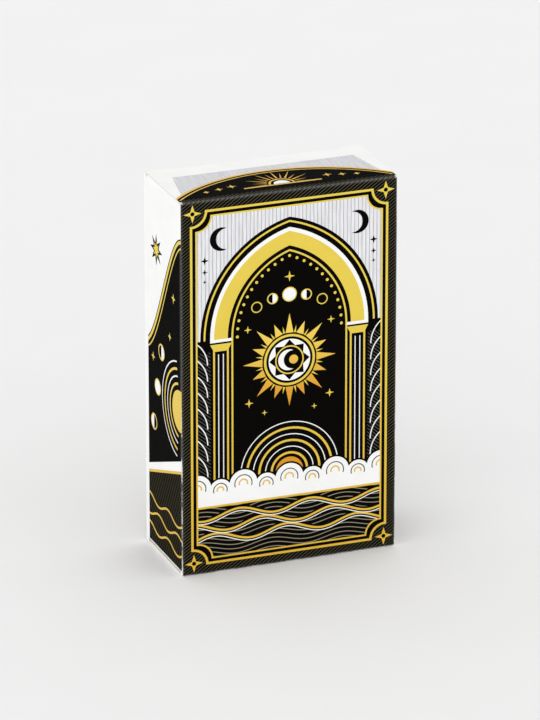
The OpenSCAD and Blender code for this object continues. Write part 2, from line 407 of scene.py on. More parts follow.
class Graph:
    """Short calls that add nodes to a tree and join them."""

    def __init__(self, tree: NodeTree) -> None:
        """Take the tree that the nodes go into."""
        self.tree = tree

    def add(self, kind: str, inputs: dict[str | int, object] | None = None, **settings: object) -> Node:
        """Add a node.

        Args:
            kind: The node's type name.
            inputs: Values or sockets for its inputs, by name or by number.
            settings: Its own properties.

        Returns:
            The node.
        """
        node = self.tree.nodes.new(kind)
        for name, value in settings.items():
            setattr(node, name, value)
        for name, value in (inputs or {}).items():
            self.feed(node.inputs[name], value)
        return node

    def feed(self, socket: NodeSocket, value: object) -> None:
        """Link a socket to an input, or set the input's value.

        Args:
            socket: The input.
            value: An output to link to it, or a plain value.
        """
        if isinstance(value, NodeSocket):
            self.tree.links.new(value, socket)
        else:
            socket.default_value = value

    def math(self, operation: str, *values: object) -> NodeSocket:
        """Work out a number from numbers or sockets."""
        return self.add("ShaderNodeMath", dict(enumerate(values)), operation=operation).outputs[0]

    def span(self, first: object, second: object) -> NodeSocket:
        """Length of the diagonal over two sides."""
        squares = [self.math("MULTIPLY", side, side) for side in (first, second)]
        return self.math("SQRT", self.math("ADD", *squares))

    def from_middle(self, value: object, middle: object) -> NodeSocket:
        """Distance of a number from a middle."""
        return self.math("ABSOLUTE", self.math("SUBTRACT", value, middle))

    def remap(self, value: object, low: float, high: float, first: float, last: float) -> NodeSocket:
        """Carry a value from the range of low to high to that of first to last, along a smooth step."""
        ranges = {0: value, 1: low, 2: high, 3: first, 4: last}
        return self.add("ShaderNodeMapRange", ranges, interpolation_type="SMOOTHSTEP").outputs[0]

    def mix(self, share: object, under: object, over: object, blend: str = "MIX") -> NodeSocket:
        """Mix two colours.

        Args:
            share: How much of the second shows.
            under: The first colour or socket.
            over: The second colour or socket.
            blend: The way they mix.

        Returns:
            The mixed colour.
        """
        node = self.add("ShaderNodeMix", data_type="RGBA", blend_type=blend)
        for name, value in (("Factor_Float", share), ("A_Color", under), ("B_Color", over)):
            socket = next(s for s in node.inputs if s.identifier == name)
            self.feed(socket, value)
        return next(s for s in node.outputs if s.identifier == "Result_Color")

    def tinted(self, colour: object, tone: NodeSocket) -> NodeSocket:
        """Darken or lighten a colour by a tone that changes over the surface."""
        return self.mix(1.0, colour, tone, blend="MULTIPLY")

    def noise(self, place: object, grain: Grain) -> NodeSocket:
        """Add cloudy noise at a place and return its strength."""
        values = {"Scale": grain.scale, "Detail": grain.detail, "Roughness": grain.roughness}
        return self.add("ShaderNodeTexNoise", {"Vector": place, **values}).outputs["Fac"]

    def toned(self, noise: object, grain: Grain) -> NodeSocket:
        """Carry a noise from the range used of it to what that gives."""
        return self.remap(noise, grain.low, grain.high, grain.first, grain.last)

    def cloud(self, place: object, grain: Grain) -> NodeSocket:
        """Add cloudy noise at a place and carry it to what it gives."""
        return self.toned(self.noise(place, grain), grain)

    def millimetres(self) -> NodeSocket:
        """Return the piece's own coordinates in millimetres."""
        place = self.add("ShaderNodeTexCoord").outputs["Object"]
        return self.add("ShaderNodeVectorMath", {0: place, "Scale": 1 / MM}, operation="SCALE").outputs[0]

    def flat(self) -> NodeSocket:
        """Return the place on a printed panel as it lies flat, in millimetres."""
        return self.add("ShaderNodeUVMap", uv_map=PRINT_MAP).outputs[0]

    def stretched(self, place: object, scales: Triple) -> NodeSocket:
        """Scale a place by its axes."""
        return self.add("ShaderNodeVectorMath", {0: place, 1: scales}, operation="MULTIPLY").outputs[0]

    def axes(self, place: object) -> NodeOutputs:
        """Return a place by its axes."""
        return self.add("ShaderNodeSeparateXYZ", {0: place}).outputs

    def bump(self, height: object, strength: float, depth: float) -> NodeSocket:
        """Return the normals over a height, at a strength and at a depth in millimetres."""
        values = {"Strength": strength, "Distance": depth * MM, "Height": height}
        return self.add("ShaderNodeBump", values).outputs[0]


class Surface:
    """A new material, with its shader and its graph."""

    def __init__(self, name: str) -> None:
        """Make the material.

        Args:
            name: Its name.
        """
        self.made = bpy.data.materials.new(name)
        self.made.use_nodes = True
        self.shader = self.made.node_tree.nodes["Principled BSDF"]
        self.graph = Graph(self.made.node_tree)

    def finish(self, inputs: dict[str, object]) -> Material:
        """Link or set the shader's inputs.

        Args:
            inputs: Values or sockets by the inputs' names.

        Returns:
            The material.
        """
        for name, value in inputs.items():
            self.graph.feed(self.shader.inputs[name], value)
        return self.made


@dataclass(frozen=True)
class Sheet:
    """An upright sheet, by its half sizes and the height of its middle, in millimetres."""

    half_w: float
    half_h: float
    middle: float

    @classmethod
    def of(cls, node: str) -> "Sheet":
        """Measure a solid of the frame."""
        low, high = (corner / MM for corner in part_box(node))
        return cls(high.x, (high.z - low.z) / 2, (high.z + low.z) / 2)


@dataclass
class EffectGroups:
    """Node groups that several finishes share, each built once."""

    made: dict[Effect, NodeTree] = field(default_factory=dict)
    soft_edge: float = 0.05
    mottle: Grain = Grain(0.12, first=0.975, last=1.01)
    patches: Grain = Grain(0.11, low=0.4, high=0.62, last=0.22)
    specks: Grain = Grain(1.1, 5.0, 0.75, first=1.0, last=0.55)
    speck_wear: float = 0.9
    wear_height: Point = (10.0, 110.0)
    wear_by_height: Point = (0.16, -0.3)
    wear_threshold: Point = (0.5, 0.68)
    wear_power: float = 2.2
    wear_dulling: float = 0.3
    wear_depth: float = 0.8
    sheen_power: float = 4.0
    rubbed_colour: str = "#d8d8d6"
    scuffs: Grain = Grain(0.8, 6.0, 0.68, 0.42, 0.72, -0.05, 0.11)
    tooth: Grain = Grain(3.2, 4.0, 0.6)
    sway: Grain = Grain(0.05, 1.0)
    sway_height: float = 6.0
    fibres: Grain = Grain(1.4, 6.0, 0.68, 0.2, 0.8, 0.72, 0.92)
    fibre_stretch: Triple = (0.5, 0.5, 2.4)
    blotches: Grain = Grain(0.16)
    flecks: Grain = Grain(1.1, 2.0, low=0.66, high=0.74, last=0.3)
    fleck_colour: str = "#a89a80"
    rule_inset: float = 0.3
    rule_half: float = 0.3

    def get(self, effect: Effect) -> NodeTree:
        """Find a group, building it on first use.

        Args:
            effect: Which group it is.

        Returns:
            The group's tree.
        """
        builders: dict[Effect, Callable[[NodeTree], None]] = {
            Effect.LINE_SCREEN: self.line_screen,
            Effect.PRINT_SURFACE: self.print_surface,
            Effect.PAPER_FIBRE: self.paper_fibre,
            Effect.FRAMED_FIELD: self.framed_field,
        }
        if effect not in self.made:
            self.made[effect] = bpy.data.node_groups.new(effect.value, "ShaderNodeTree")
            builders[effect](self.made[effect])
        return self.made[effect]

    def place(self, graph: Graph, effect: Effect, inputs: dict[str, object]) -> NodeOutputs:
        """Place a group with its own values in a graph and return its outputs."""
        return graph.add("ShaderNodeGroup", inputs, node_tree=self.get(effect)).outputs

    def fibre(self, graph: Graph, ground: str, depth: float) -> NodeOutputs:
        """Place the fibres of paper of one colour and return their outputs."""
        return self.place(graph, Effect.PAPER_FIBRE, {"Color": linear(ground), "Depth": depth})

    def framed(self, graph: Graph, sheet: Sheet, border: float) -> NodeOutputs:
        """Place the masks of a sheet's field and of the rule round it, and return them."""
        sizes = {"Half Width": sheet.half_w, "Half Height": sheet.half_h, "Middle": sheet.middle}
        return self.place(graph, Effect.FRAMED_FIELD, {**sizes, "Border": border})

    @staticmethod
    def begin(
        tree: NodeTree, inputs: dict[str, str], outputs: dict[str, str]
    ) -> tuple[Graph, NodeOutputs]:
        """Give a group its named inputs and outputs.

        Args:
            tree: The group.
            inputs: Socket types by name.
            outputs: Socket types by name.

        Returns:
            The group's graph, and what its inputs give.
        """
        for way, sockets in (("INPUT", inputs), ("OUTPUT", outputs)):
            for name, kind in sockets.items():
                tree.interface.new_socket(name, in_out=way, socket_type=kind)
        graph = Graph(tree)
        return graph, graph.add("NodeGroupInput").outputs

    def line_screen(self, tree: NodeTree) -> None:
        """Build the even lines of a printed hatch, as a mask over the flat panel.

        Args:
            tree: The group to fill.
        """
        inputs = {name: NUMBER for name in ("Turn", "Pitch", "Share", "Bend", "Period")}
        graph, given = self.begin(tree, inputs, {"Mask": NUMBER})
        turning = {"Vector": graph.flat(), "Angle": given["Turn"]}
        turned = graph.add("ShaderNodeVectorRotate", turning, rotation_type="Z_AXIS").outputs[0]
        axes = graph.axes(turned)
        along = graph.math("DIVIDE", graph.math("MULTIPLY", axes["X"], 2 * math.pi), given["Period"])
        swing = graph.math("MULTIPLY", graph.math("SINE", along), given["Bend"])
        rows = graph.math("DIVIDE", graph.math("ADD", axes["Y"], swing), given["Pitch"])
        ramp = graph.from_middle(graph.math("FRACT", rows), 0.5)
        within = graph.math("SUBTRACT", graph.math("MULTIPLY", given["Share"], 0.5), ramp)
        mask = graph.remap(within, -self.soft_edge, self.soft_edge, 0.0, 1.0)
        graph.add("NodeGroupOutput", {"Mask": mask})

    def print_surface(self, tree: NodeTree) -> None:
        """Build the laminated print: mottled ink, scuffs, a faint texture, and rubbed creases with a sheen.

        Args:
            tree: The group to fill.
        """
        outputs = {"Color": COLOUR, "Roughness": NUMBER, "Height": NUMBER, "Sheen": NUMBER}
        graph, given = self.begin(tree, {"Color": COLOUR, "Gloss": NUMBER}, outputs)
        place = graph.millimetres()
        crease = graph.add("ShaderNodeAttribute", attribute_name=CREASE).outputs["Fac"]
        specks = graph.noise(place, self.specks)
        patches = graph.cloud(place, self.patches)
        lower = graph.remap(graph.axes(place)["Z"], *self.wear_height, *self.wear_by_height)
        spotty = graph.math("ADD", graph.math("MULTIPLY", specks, self.speck_wear), patches)
        chance = graph.math("ADD", spotty, lower)
        rubbed = graph.math("MULTIPLY", chance, graph.math("POWER", crease, self.wear_power))
        bare = graph.remap(rubbed, *self.wear_threshold, 0.0, 1.0)

        ink = graph.tinted(given["Color"], graph.cloud(place, self.mottle))
        dull = graph.math("ADD", given["Gloss"], graph.cloud(place, self.scuffs))
        sway = graph.math("MULTIPLY", graph.noise(place, self.sway), self.sway_height)
        level = graph.math("SUBTRACT", sway, graph.math("MULTIPLY", bare, self.wear_depth))
        flecked = graph.toned(specks, self.specks)
        values = {
            "Color": graph.mix(bare, ink, linear(self.rubbed_colour)),
            "Roughness": graph.math("ADD", dull, graph.math("MULTIPLY", bare, self.wear_dulling)),
            "Height": graph.math("ADD", graph.noise(place, self.tooth), level),
            "Sheen": graph.math("MULTIPLY", graph.math("POWER", crease, self.sheen_power), flecked),
        }
        graph.add("NodeGroupOutput", values)

    def paper_fibre(self, tree: NodeTree) -> None:
        """Build uncoated paper or board: long fibres, flecks and a soft tooth.

        Args:
            tree: The group to fill.
        """
        outputs = {"Color": COLOUR, "Roughness": NUMBER, "Height": NUMBER}
        graph, given = self.begin(tree, {"Color": COLOUR, "Depth": NUMBER}, outputs)
        place = graph.millimetres()
        fibres = graph.noise(graph.stretched(place, self.fibre_stretch), self.fibres)
        shade: object = 1.0
        for tone in (fibres, graph.noise(place, self.blotches)):
            swing = graph.math("MULTIPLY", graph.math("SUBTRACT", tone, 0.5), given["Depth"])
            shade = graph.math("ADD", swing, shade)
        flecks = graph.cloud(place, self.flecks)
        values = {
            "Color": graph.mix(flecks, graph.tinted(given["Color"], shade), linear(self.fleck_colour)),
            "Roughness": graph.toned(fibres, self.fibres),
            "Height": fibres,
        }
        graph.add("NodeGroupOutput", values)

    def framed_field(self, tree: NodeTree) -> None:
        """Build the field inside an upright sheet's border and a thin rule round it, as masks.

        Args:
            tree: The group to fill.
        """
        inputs = {name: NUMBER for name in ("Half Width", "Half Height", "Middle", "Border")}
        graph, given = self.begin(tree, inputs, {"Field": NUMBER, "Rule": NUMBER})
        axes = graph.axes(graph.millimetres())
        rise = graph.from_middle(axes["Z"], given["Middle"])
        beside = graph.math("SUBTRACT", given["Half Width"], graph.math("ABSOLUTE", axes["X"]))
        nearest = graph.math("MINIMUM", beside, graph.math("SUBTRACT", given["Half Height"], rise))
        inside = graph.math("SUBTRACT", nearest, given["Border"])
        from_rule = graph.from_middle(inside, self.rule_inset)
        rule_edge = (self.rule_half - self.soft_edge, self.rule_half + self.soft_edge)
        masks = {
            "Field": graph.remap(inside, -self.soft_edge, self.soft_edge, 0.0, 1.0),
            "Rule": graph.remap(from_rule, *rule_edge, 1.0, 0.0),
        }
        graph.add("NodeGroupOutput", masks)


@dataclass(frozen=True)
class LineScreen:
    """Fine parallel lines printed over a ground colour."""

    colour: str
    turn: float
    pitch: float
    share: float
    bend: float = 0.0
    period: float = 20.0

    def laid(self, graph: Graph, groups: EffectGroups, under: object) -> NodeSocket:
        """Lay the lines over a colour.

        Args:
            graph: Where the nodes go.
            groups: The shared effects.
            under: The colour below the lines.

        Returns:
            The colour of both.
        """
        values = {"Turn": math.radians(self.turn), "Pitch": self.pitch, "Share": self.share}
        values |= {"Bend": self.bend, "Period": self.period}
        mask = groups.place(graph, Effect.LINE_SCREEN, values)["Mask"]
        return graph.mix(mask, under, linear(self.colour))


@dataclass(frozen=True)
class Fade:
    """A second colour, which comes in down the panel between two heights in millimetres."""

    colour: str
    low: float
    high: float


@dataclass(frozen=True, kw_only=True)
class Finish:
    """A finish on paper or board: the strength and the depth of its relief, and how much it shines."""

    bump_strength: float = 0.2
    bump_depth: float = 0.02
    specular: float = 0.25

    def material(self, name: str, groups: EffectGroups) -> Material:
        """Make a material of the finish.

        Args:
            name: Its name.
            groups: The shared effects.

        Returns:
            The material.
        """
        surface = Surface(name)
        inputs = self.looks(surface.graph, groups)
        normal = surface.graph.bump(inputs.pop("Height"), self.bump_strength, self.bump_depth)
        return surface.finish({**inputs, "Normal": normal, "Specular IOR Level": self.specular})

    def looks(self, graph: Graph, groups: EffectGroups) -> dict[str, object]:
        """Work out the shader's inputs and the relief's height, as each finish does in its own way."""
        raise NotImplementedError


@dataclass(frozen=True, kw_only=True)
class PrintFinish(Finish):
    """A laminated print on folding board, black unless it has another ground."""

    ground: str = "#0b0a09"
    gloss: float = 0.45
    specular: float = 0.002
    screen: LineScreen | None = None
    fade: Fade | None = None
    streaks: Grain | None = None
    streak_stretch: Triple = (3.0, 0.12, 1.0)
    coat_roughness: float = 0.25
    coat_ior: float = 2.2

    def looks(self, graph: Graph, groups: EffectGroups) -> dict[str, object]:
        """Print the ground with its fade, its lines and its streaks, under the laminate.

        Args:
            graph: Where the nodes go.
            groups: The shared effects.

        Returns:
            The shader's inputs and the relief's height.
        """
        colour: object = linear(self.ground)
        if self.fade:
            rise = graph.axes(graph.flat())["Y"]
            share = graph.remap(rise, self.fade.low, self.fade.high, 1.0, 0.0)
            colour = graph.mix(share, colour, linear(self.fade.colour))
        if self.screen:
            colour = self.screen.laid(graph, groups, colour)
        if self.streaks:
            drawn = graph.stretched(graph.flat(), self.streak_stretch)
            colour = graph.tinted(colour, graph.cloud(drawn, self.streaks))
        printed = groups.place(graph, Effect.PRINT_SURFACE, {"Color": colour, "Gloss": self.gloss})
        return {
            "Base Color": printed["Color"],
            "Roughness": printed["Roughness"],
            "Height": printed["Height"],
            "Coat Weight": printed["Sheen"],
            "Coat Roughness": self.coat_roughness,
            "Coat IOR": self.coat_ior,
        }


@dataclass(frozen=True, kw_only=True)
class PaperFinish(Finish):
    """Uncoated paper or board, with no print."""

    ground: str
    depth: float
    bump_strength: float = 0.3
    bump_depth: float = 0.03

    def looks(self, graph: Graph, groups: EffectGroups) -> dict[str, object]:
        """Show the shared fibres in the paper's colour."""
        fibre = groups.fibre(graph, self.ground, self.depth)
        return {"Base Color": fibre["Color"], "Roughness": fibre["Roughness"], "Height": fibre["Height"]}


# The uneven tone along the lines of the silver screens.
STREAKS = Grain(1.0, 4.0, 0.6, 0.35, 0.65, 0.86, 1.05)
INKS: dict[Ink, Finish] = {
    Ink.BLACK: PrintFinish(),
    Ink.GOLD: PrintFinish(ground="#e5cb50", gloss=0.42, specular=0.15, fade=Fade("#e0b63d", 4.0, 90.0)),
    Ink.AMBER: PrintFinish(ground="#efcf58", gloss=0.4, specular=0.15, fade=Fade("#d8921f", 50.0, 82.0)),
    Ink.WHITE: PrintFinish(ground="#f5f5f4", specular=0.1),
    Ink.SILVER: PrintFinish(
        ground="#e8e8eb",
        specular=0.1,
        screen=LineScreen("#a8a9ae", turn=90.0, pitch=1.25, share=0.17),
        streaks=STREAKS,
    ),
    Ink.FINE_SILVER: PrintFinish(
        ground="#dfdfe2",
        specular=0.1,
        screen=LineScreen("#c0c1c6", turn=90.0, pitch=0.6, share=0.3),
        streaks=STREAKS,
    ),
    Ink.HATCH: PrintFinish(screen=LineScreen("#625e48", turn=-35.0, pitch=0.92, share=0.18)),
    Ink.GREY_HATCH: PrintFinish(screen=LineScreen("#605f5b", turn=40.0, pitch=0.92, share=0.18)),
    Ink.SIDE_HATCH: PrintFinish(screen=LineScreen("#4d4934", turn=58.0, pitch=1.7, share=0.22)),
    Ink.RIPPLE: PrintFinish(
        screen=LineScreen("#98927a", turn=0.0, pitch=1.5, share=0.17, bend=1.0, period=24.0)
    ),
    Ink.BOARD: PaperFinish(ground="#ebe8e0", depth=0.1),
}


@dataclass
class InkShelf:
    """The materials of the inks, made as they are first used."""

    groups: EffectGroups
    made: dict[Ink, Material] = field(default_factory=dict)

    def get(self, ink: Ink) -> Material:
        """Find the material of an ink.

        Args:
            ink: The ink.

        Returns:
            Its material, made on first use.
        """
        if ink not in self.made:
            self.made[ink] = INKS[ink].material(ink.value, self.groups)
        return self.made[ink]


@dataclass(frozen=True, kw_only=True)
class FlapFinish(Finish):
    """A dust flap's board: coated white on its outer face, bare on its inner face and its cut edges."""

    fold_x: float
    fold_z: float
    radius: float
    coat: float = 0.05
    white: str = "#f1f1ef"
    bare: str = "#e6e2d8"
    depth: float = 0.14
    coat_roughness: float = 0.6
    tone_from: Point = (0.3, 0.7)
    tone_to: Point = (0.97, 1.01)

    def looks(self, graph: Graph, groups: EffectGroups) -> dict[str, object]:
        """Find the coated face by its distance from the fold's centre line, and leave the rest bare.

        Args:
            graph: Where the nodes go.
            groups: The shared effects.

        Returns:
            The shader's inputs and the relief's height.
        """
        axes = graph.axes(graph.millimetres())
        past = graph.math("SUBTRACT", graph.math("ABSOLUTE", axes["X"]), self.fold_x)
        rise = graph.math("SUBTRACT", axes["Z"], self.fold_z)
        reach = graph.span(graph.math("MAXIMUM", past, 0.0), rise)
        outer = graph.remap(reach, self.radius - self.coat, self.radius - self.coat / 2, 0.0, 1.0)
        fibre = groups.fibre(graph, self.bare, self.depth)
        tone = graph.remap(fibre["Height"], *self.tone_from, *self.tone_to)
        coated = graph.tinted(linear(self.white), tone)
        smooth = graph.remap(outer, 0.0, 1.0, 1.0, self.coat_roughness)
        return {
            "Base Color": graph.mix(outer, fibre["Color"], coated),
            "Roughness": graph.math("MULTIPLY", fibre["Roughness"], smooth),
            "Height": fibre["Height"],
        }


@dataclass(frozen=True)
class Stroke:
    """One bar or disc of an emblem, which lays ink or takes it away."""

    rise: float
    half_x: float
    half_z: float
    round: bool = True
    inked: bool = True
    soft: float = 0.02

    def cover(self, graph: Graph, axes: NodeOutputs, middle: float) -> NodeSocket:
        """Find where the stroke lies.

        Args:
            graph: Where the nodes go.
            axes: The place on the piece, in millimetres, by axis.
            middle: Height of the sheet's middle.

        Returns:
            A mask, one within a stroke that lays ink and nought within one that takes it away.
        """
        u = graph.math("DIVIDE", axes["X"], self.half_x)
        v = graph.math("DIVIDE", graph.math("SUBTRACT", axes["Z"], middle + self.rise), self.half_z)
        if self.round:
            reach = graph.span(u, v)
        else:
            reach = graph.math("MAXIMUM", graph.math("ABSOLUTE", u), graph.math("ABSOLUTE", v))
        within = 1.0 if self.inked else 0.0
        return graph.remap(reach, 1 - self.soft, 1 + self.soft, within, 1.0 - within)


class Emblem(Enum):
    """What the faces of a pack show, as strokes about the middle of the sheet."""

    SUN = (
        Stroke(0, 24, 2.2),
        Stroke(0, 2.2, 24),
        Stroke(0, 12, 12, inked=False),
        Stroke(0, 11, 11),
        Stroke(0, 9, 9, inked=False),
        Stroke(0, 6.5, 6.5),
    )
    STAFF = (
        Stroke(0, 1.7, 28, round=False),
        Stroke(29, 3.2, 3.2),
        Stroke(-29, 2.4, 2.4),
        Stroke(12, 7, 2.0),
        Stroke(-2, 8, 2.0),
        Stroke(-16, 7, 2.0),
    )
    CUP = (
        Stroke(9, 12, 14),
        Stroke(19, 14, 10, round=False, inked=False),
        Stroke(-11, 1.6, 9, round=False),
        Stroke(-11, 3.6, 1.6),
        Stroke(-21, 9, 2.2),
    )
    SWORD = (
        Stroke(-6, 1.6, 24),
        Stroke(16, 10, 1.4, round=False),
        Stroke(21, 1.2, 5, round=False),
        Stroke(27, 2.6, 2.6),
    )
    COIN = (
        Stroke(0, 16, 16),
        Stroke(0, 14.2, 14.2, inked=False),
        Stroke(0, 12.6, 12.6),
        Stroke(0, 7.5, 7.5, inked=False),
        Stroke(0, 4.5, 4.5),
    )

    def mask(self, graph: Graph, axes: NodeOutputs, sheet: Sheet) -> NodeSocket:
        """Lay the strokes one over another.

        Args:
            graph: Where the nodes go.
            axes: The place on the piece, in millimetres, by axis.
            sheet: The sheet that it stands on.

        Returns:
            A mask of its ink.
        """
        ink: object = 0.0
        for stroke in self.value:
            operation = "MAXIMUM" if stroke.inked else "MULTIPLY"
            ink = graph.math(operation, ink, stroke.cover(graph, axes, sheet.middle))
        return ink


@dataclass(frozen=True, kw_only=True)
class CardFinish(Finish):
    """Coated card for one pack: framed emblems on faces, framed lattices on backs, and pale cut edges with
    painted shade between the cards.
    """

    emblem: Emblem
    sheet: Sheet
    first: float
    thick: float = 0.31
    air: float = 0.01
    stock: str = "#f1ead8"
    ground: str = "#15130f"
    line: str = "#d9b95a"
    border: float = 4.0
    pitch: float = 5.0
    lattice_line: Point = (0.06, 0.1)
    depth: float = 0.12
    # Painted shade on the cut edges: where it starts and ends in each card's depth, and how dark it gets
    # where the cards meet.
    gap_shade_span: Point = (0.28, 0.48)
    edge_dark: float = 0.6
    edge_roughness: float = 0.95
    coat_roughness: float = 0.55
    bump_depth: float = 0.01
    specular: float = 0.3

    def looks(self, graph: Graph, groups: EffectGroups) -> dict[str, object]:
        """Tell faces, backs and cut edges by their place in the pack, print the faces and backs, and paint
        shade on the edges where the cards meet.

        Args:
            graph: Where the nodes go.
            groups: The shared effects.

        Returns:
            The shader's inputs and the relief's height.
        """
        axes = graph.axes(graph.millimetres())
        masks = groups.framed(graph, self.sheet, self.border)
        fibre = groups.fibre(graph, self.stock, self.depth)
        stock, ground, line = fibre["Color"], linear(self.ground), linear(self.line)

        face = graph.mix(self.emblem.mask(graph, axes, self.sheet), stock, ground)
        face = graph.mix(masks["Rule"], face, line)
        back = graph.mix(masks["Field"], stock, graph.mix(self.lattice(graph, axes), ground, line))
        back = graph.mix(masks["Rule"], back, line)

        room = self.thick + self.air
        share = self.air / 2 / room
        into = graph.math("SUBTRACT", axes["Y"], self.first - self.air / 2)
        depth = graph.math("FRACT", graph.math("DIVIDE", into, room))
        is_face = graph.remap(depth, 1.5 * share, 2 * share, 1.0, 0.0)
        is_back = graph.remap(depth, 1 - 2 * share, 1 - 1.5 * share, 0.0, 1.0)
        # Painted shade: the pale cut edges darken towards each card's faces, as shade in the thin gaps
        # between the stacked cards.
        shade = graph.remap(graph.from_middle(depth, 0.5), *self.gap_shade_span, 1.0, self.edge_dark)
        edge = graph.tinted(stock, shade)

        coated = graph.math("MAXIMUM", is_face, is_back)
        smooth = graph.remap(coated, 0.0, 1.0, self.edge_roughness, self.coat_roughness)
        return {
            "Base Color": graph.mix(is_face, graph.mix(is_back, edge, back), face),
            "Roughness": graph.math("MULTIPLY", fibre["Roughness"], smooth),
            "Height": fibre["Height"],
        }

    def lattice(self, graph: Graph, axes: NodeOutputs) -> NodeSocket:
        """Cross two sets of slanting lines.

        Args:
            graph: Where the nodes go.
            axes: The place on the piece, in millimetres, by axis.

        Returns:
            A mask of the lines.
        """
        lines = []
        for operation in ("ADD", "SUBTRACT"):
            slant = graph.math("DIVIDE", graph.math(operation, axes["X"], axes["Z"]), self.pitch)
            gap = graph.from_middle(graph.math("FRACT", slant), 0.5)
            lines.append(graph.remap(gap, *self.lattice_line, 1.0, 0.0))
        return graph.math("MAXIMUM", *lines)


@dataclass(frozen=True, kw_only=True)
class CoverFinish(Finish):
    """The booklet's dark cover paper, with a thin rule and an emblem in gold."""

    ground: str = "#24201c"
    line: str = "#cdae55"
    border: float = 4.5
    emblem: Emblem = Emblem.SUN
    depth: float = 0.3
    paper_roughness: float = 0.9
    gold_roughness: float = 0.5
    bump_strength: float = 0.3

    def looks(self, graph: Graph, groups: EffectGroups) -> dict[str, object]:
        """Print the rule and the emblem on both covers.

        Args:
            graph: Where the nodes go.
            groups: The shared effects.

        Returns:
            The shader's inputs and the relief's height.
        """
        sheet = Sheet.of("booklet_cover")
        axes = graph.axes(graph.millimetres())
        fibre = groups.fibre(graph, self.ground, self.depth)
        rule = groups.framed(graph, sheet, self.border)["Rule"]
        gold = graph.math("MAXIMUM", rule, self.emblem.mask(graph, axes, sheet))
        smooth = graph.remap(gold, 0.0, 1.0, self.paper_roughness, self.gold_roughness)
        return {
            "Base Color": graph.mix(gold, fibre["Color"], linear(self.line)),
            "Roughness": graph.math("MULTIPLY", fibre["Roughness"], smooth),
            "Height": fibre["Height"],
        }


@dataclass(frozen=True)
class WireFinish:
    """Drawn steel wire, with fine marks along it."""

    colour: str = "#b9bcc0"
    stretch: Triple = (6.0, 6.0, 0.3)
    tone: Grain = Grain(2.0, 4.0, first=0.8, last=1.05)
    roughness: Grain = Grain(2.0, 4.0, first=0.24, last=0.42)

    def material(self, name: str) -> Material:
        """Make the material.

        Args:
            name: Its name.

        Returns:
            A metal with streaks along the wire's height.
        """
        surface = Surface(name)
        graph = surface.graph
        place = graph.stretched(graph.millimetres(), self.stretch)
        return surface.finish({
            "Base Color": graph.tinted(linear(self.colour), graph.cloud(place, self.tone)),
            "Roughness": graph.cloud(place, self.roughness),
            "Metallic": 1.0,
        })


def dress(node: str, material: Material) -> None:
    """Give a solid of the frame one material.

    Args:
        node: The solid's name.
        material: What it wears.
    """
    piece = frame["nodes"][node]
    piece.data.materials.clear()
    piece.data.materials.append(material)


@dataclass(frozen=True)
class Board:
    """The folding board that every panel is cut from, in millimetres and degrees."""

    thick: float = 0.45
    fold_radius: float = 0.9
    fold_strips: int = 6
    rub_width: float = 1.5
    sharp_angle: float = 30.0

    def arc_length(self, angle: float) -> float:
        """Length of a fold's share along its outer face."""
        return self.fold_radius * math.radians(angle)


@dataclass(frozen=True)
class FoldEdge:
    """A crease at one edge of a flat panel, where its board bends away behind its outer face."""

    side: Side
    start: float
    span: Point
    angle: float = HALF_FOLD
    slack: float = 0.01

    def past(self, flat: Vector) -> float:
        """How far a flat point lies beyond the start of the bend."""
        axis, sign = self.side.value
        return sign * (flat[axis] - self.start)

    def covers(self, flat: Vector) -> bool:
        """Whether a flat point lies between the two ends of the crease."""
        along = flat[1 - self.side.value[0]]
        return self.span[0] - self.slack <= along <= self.span[1] + self.slack


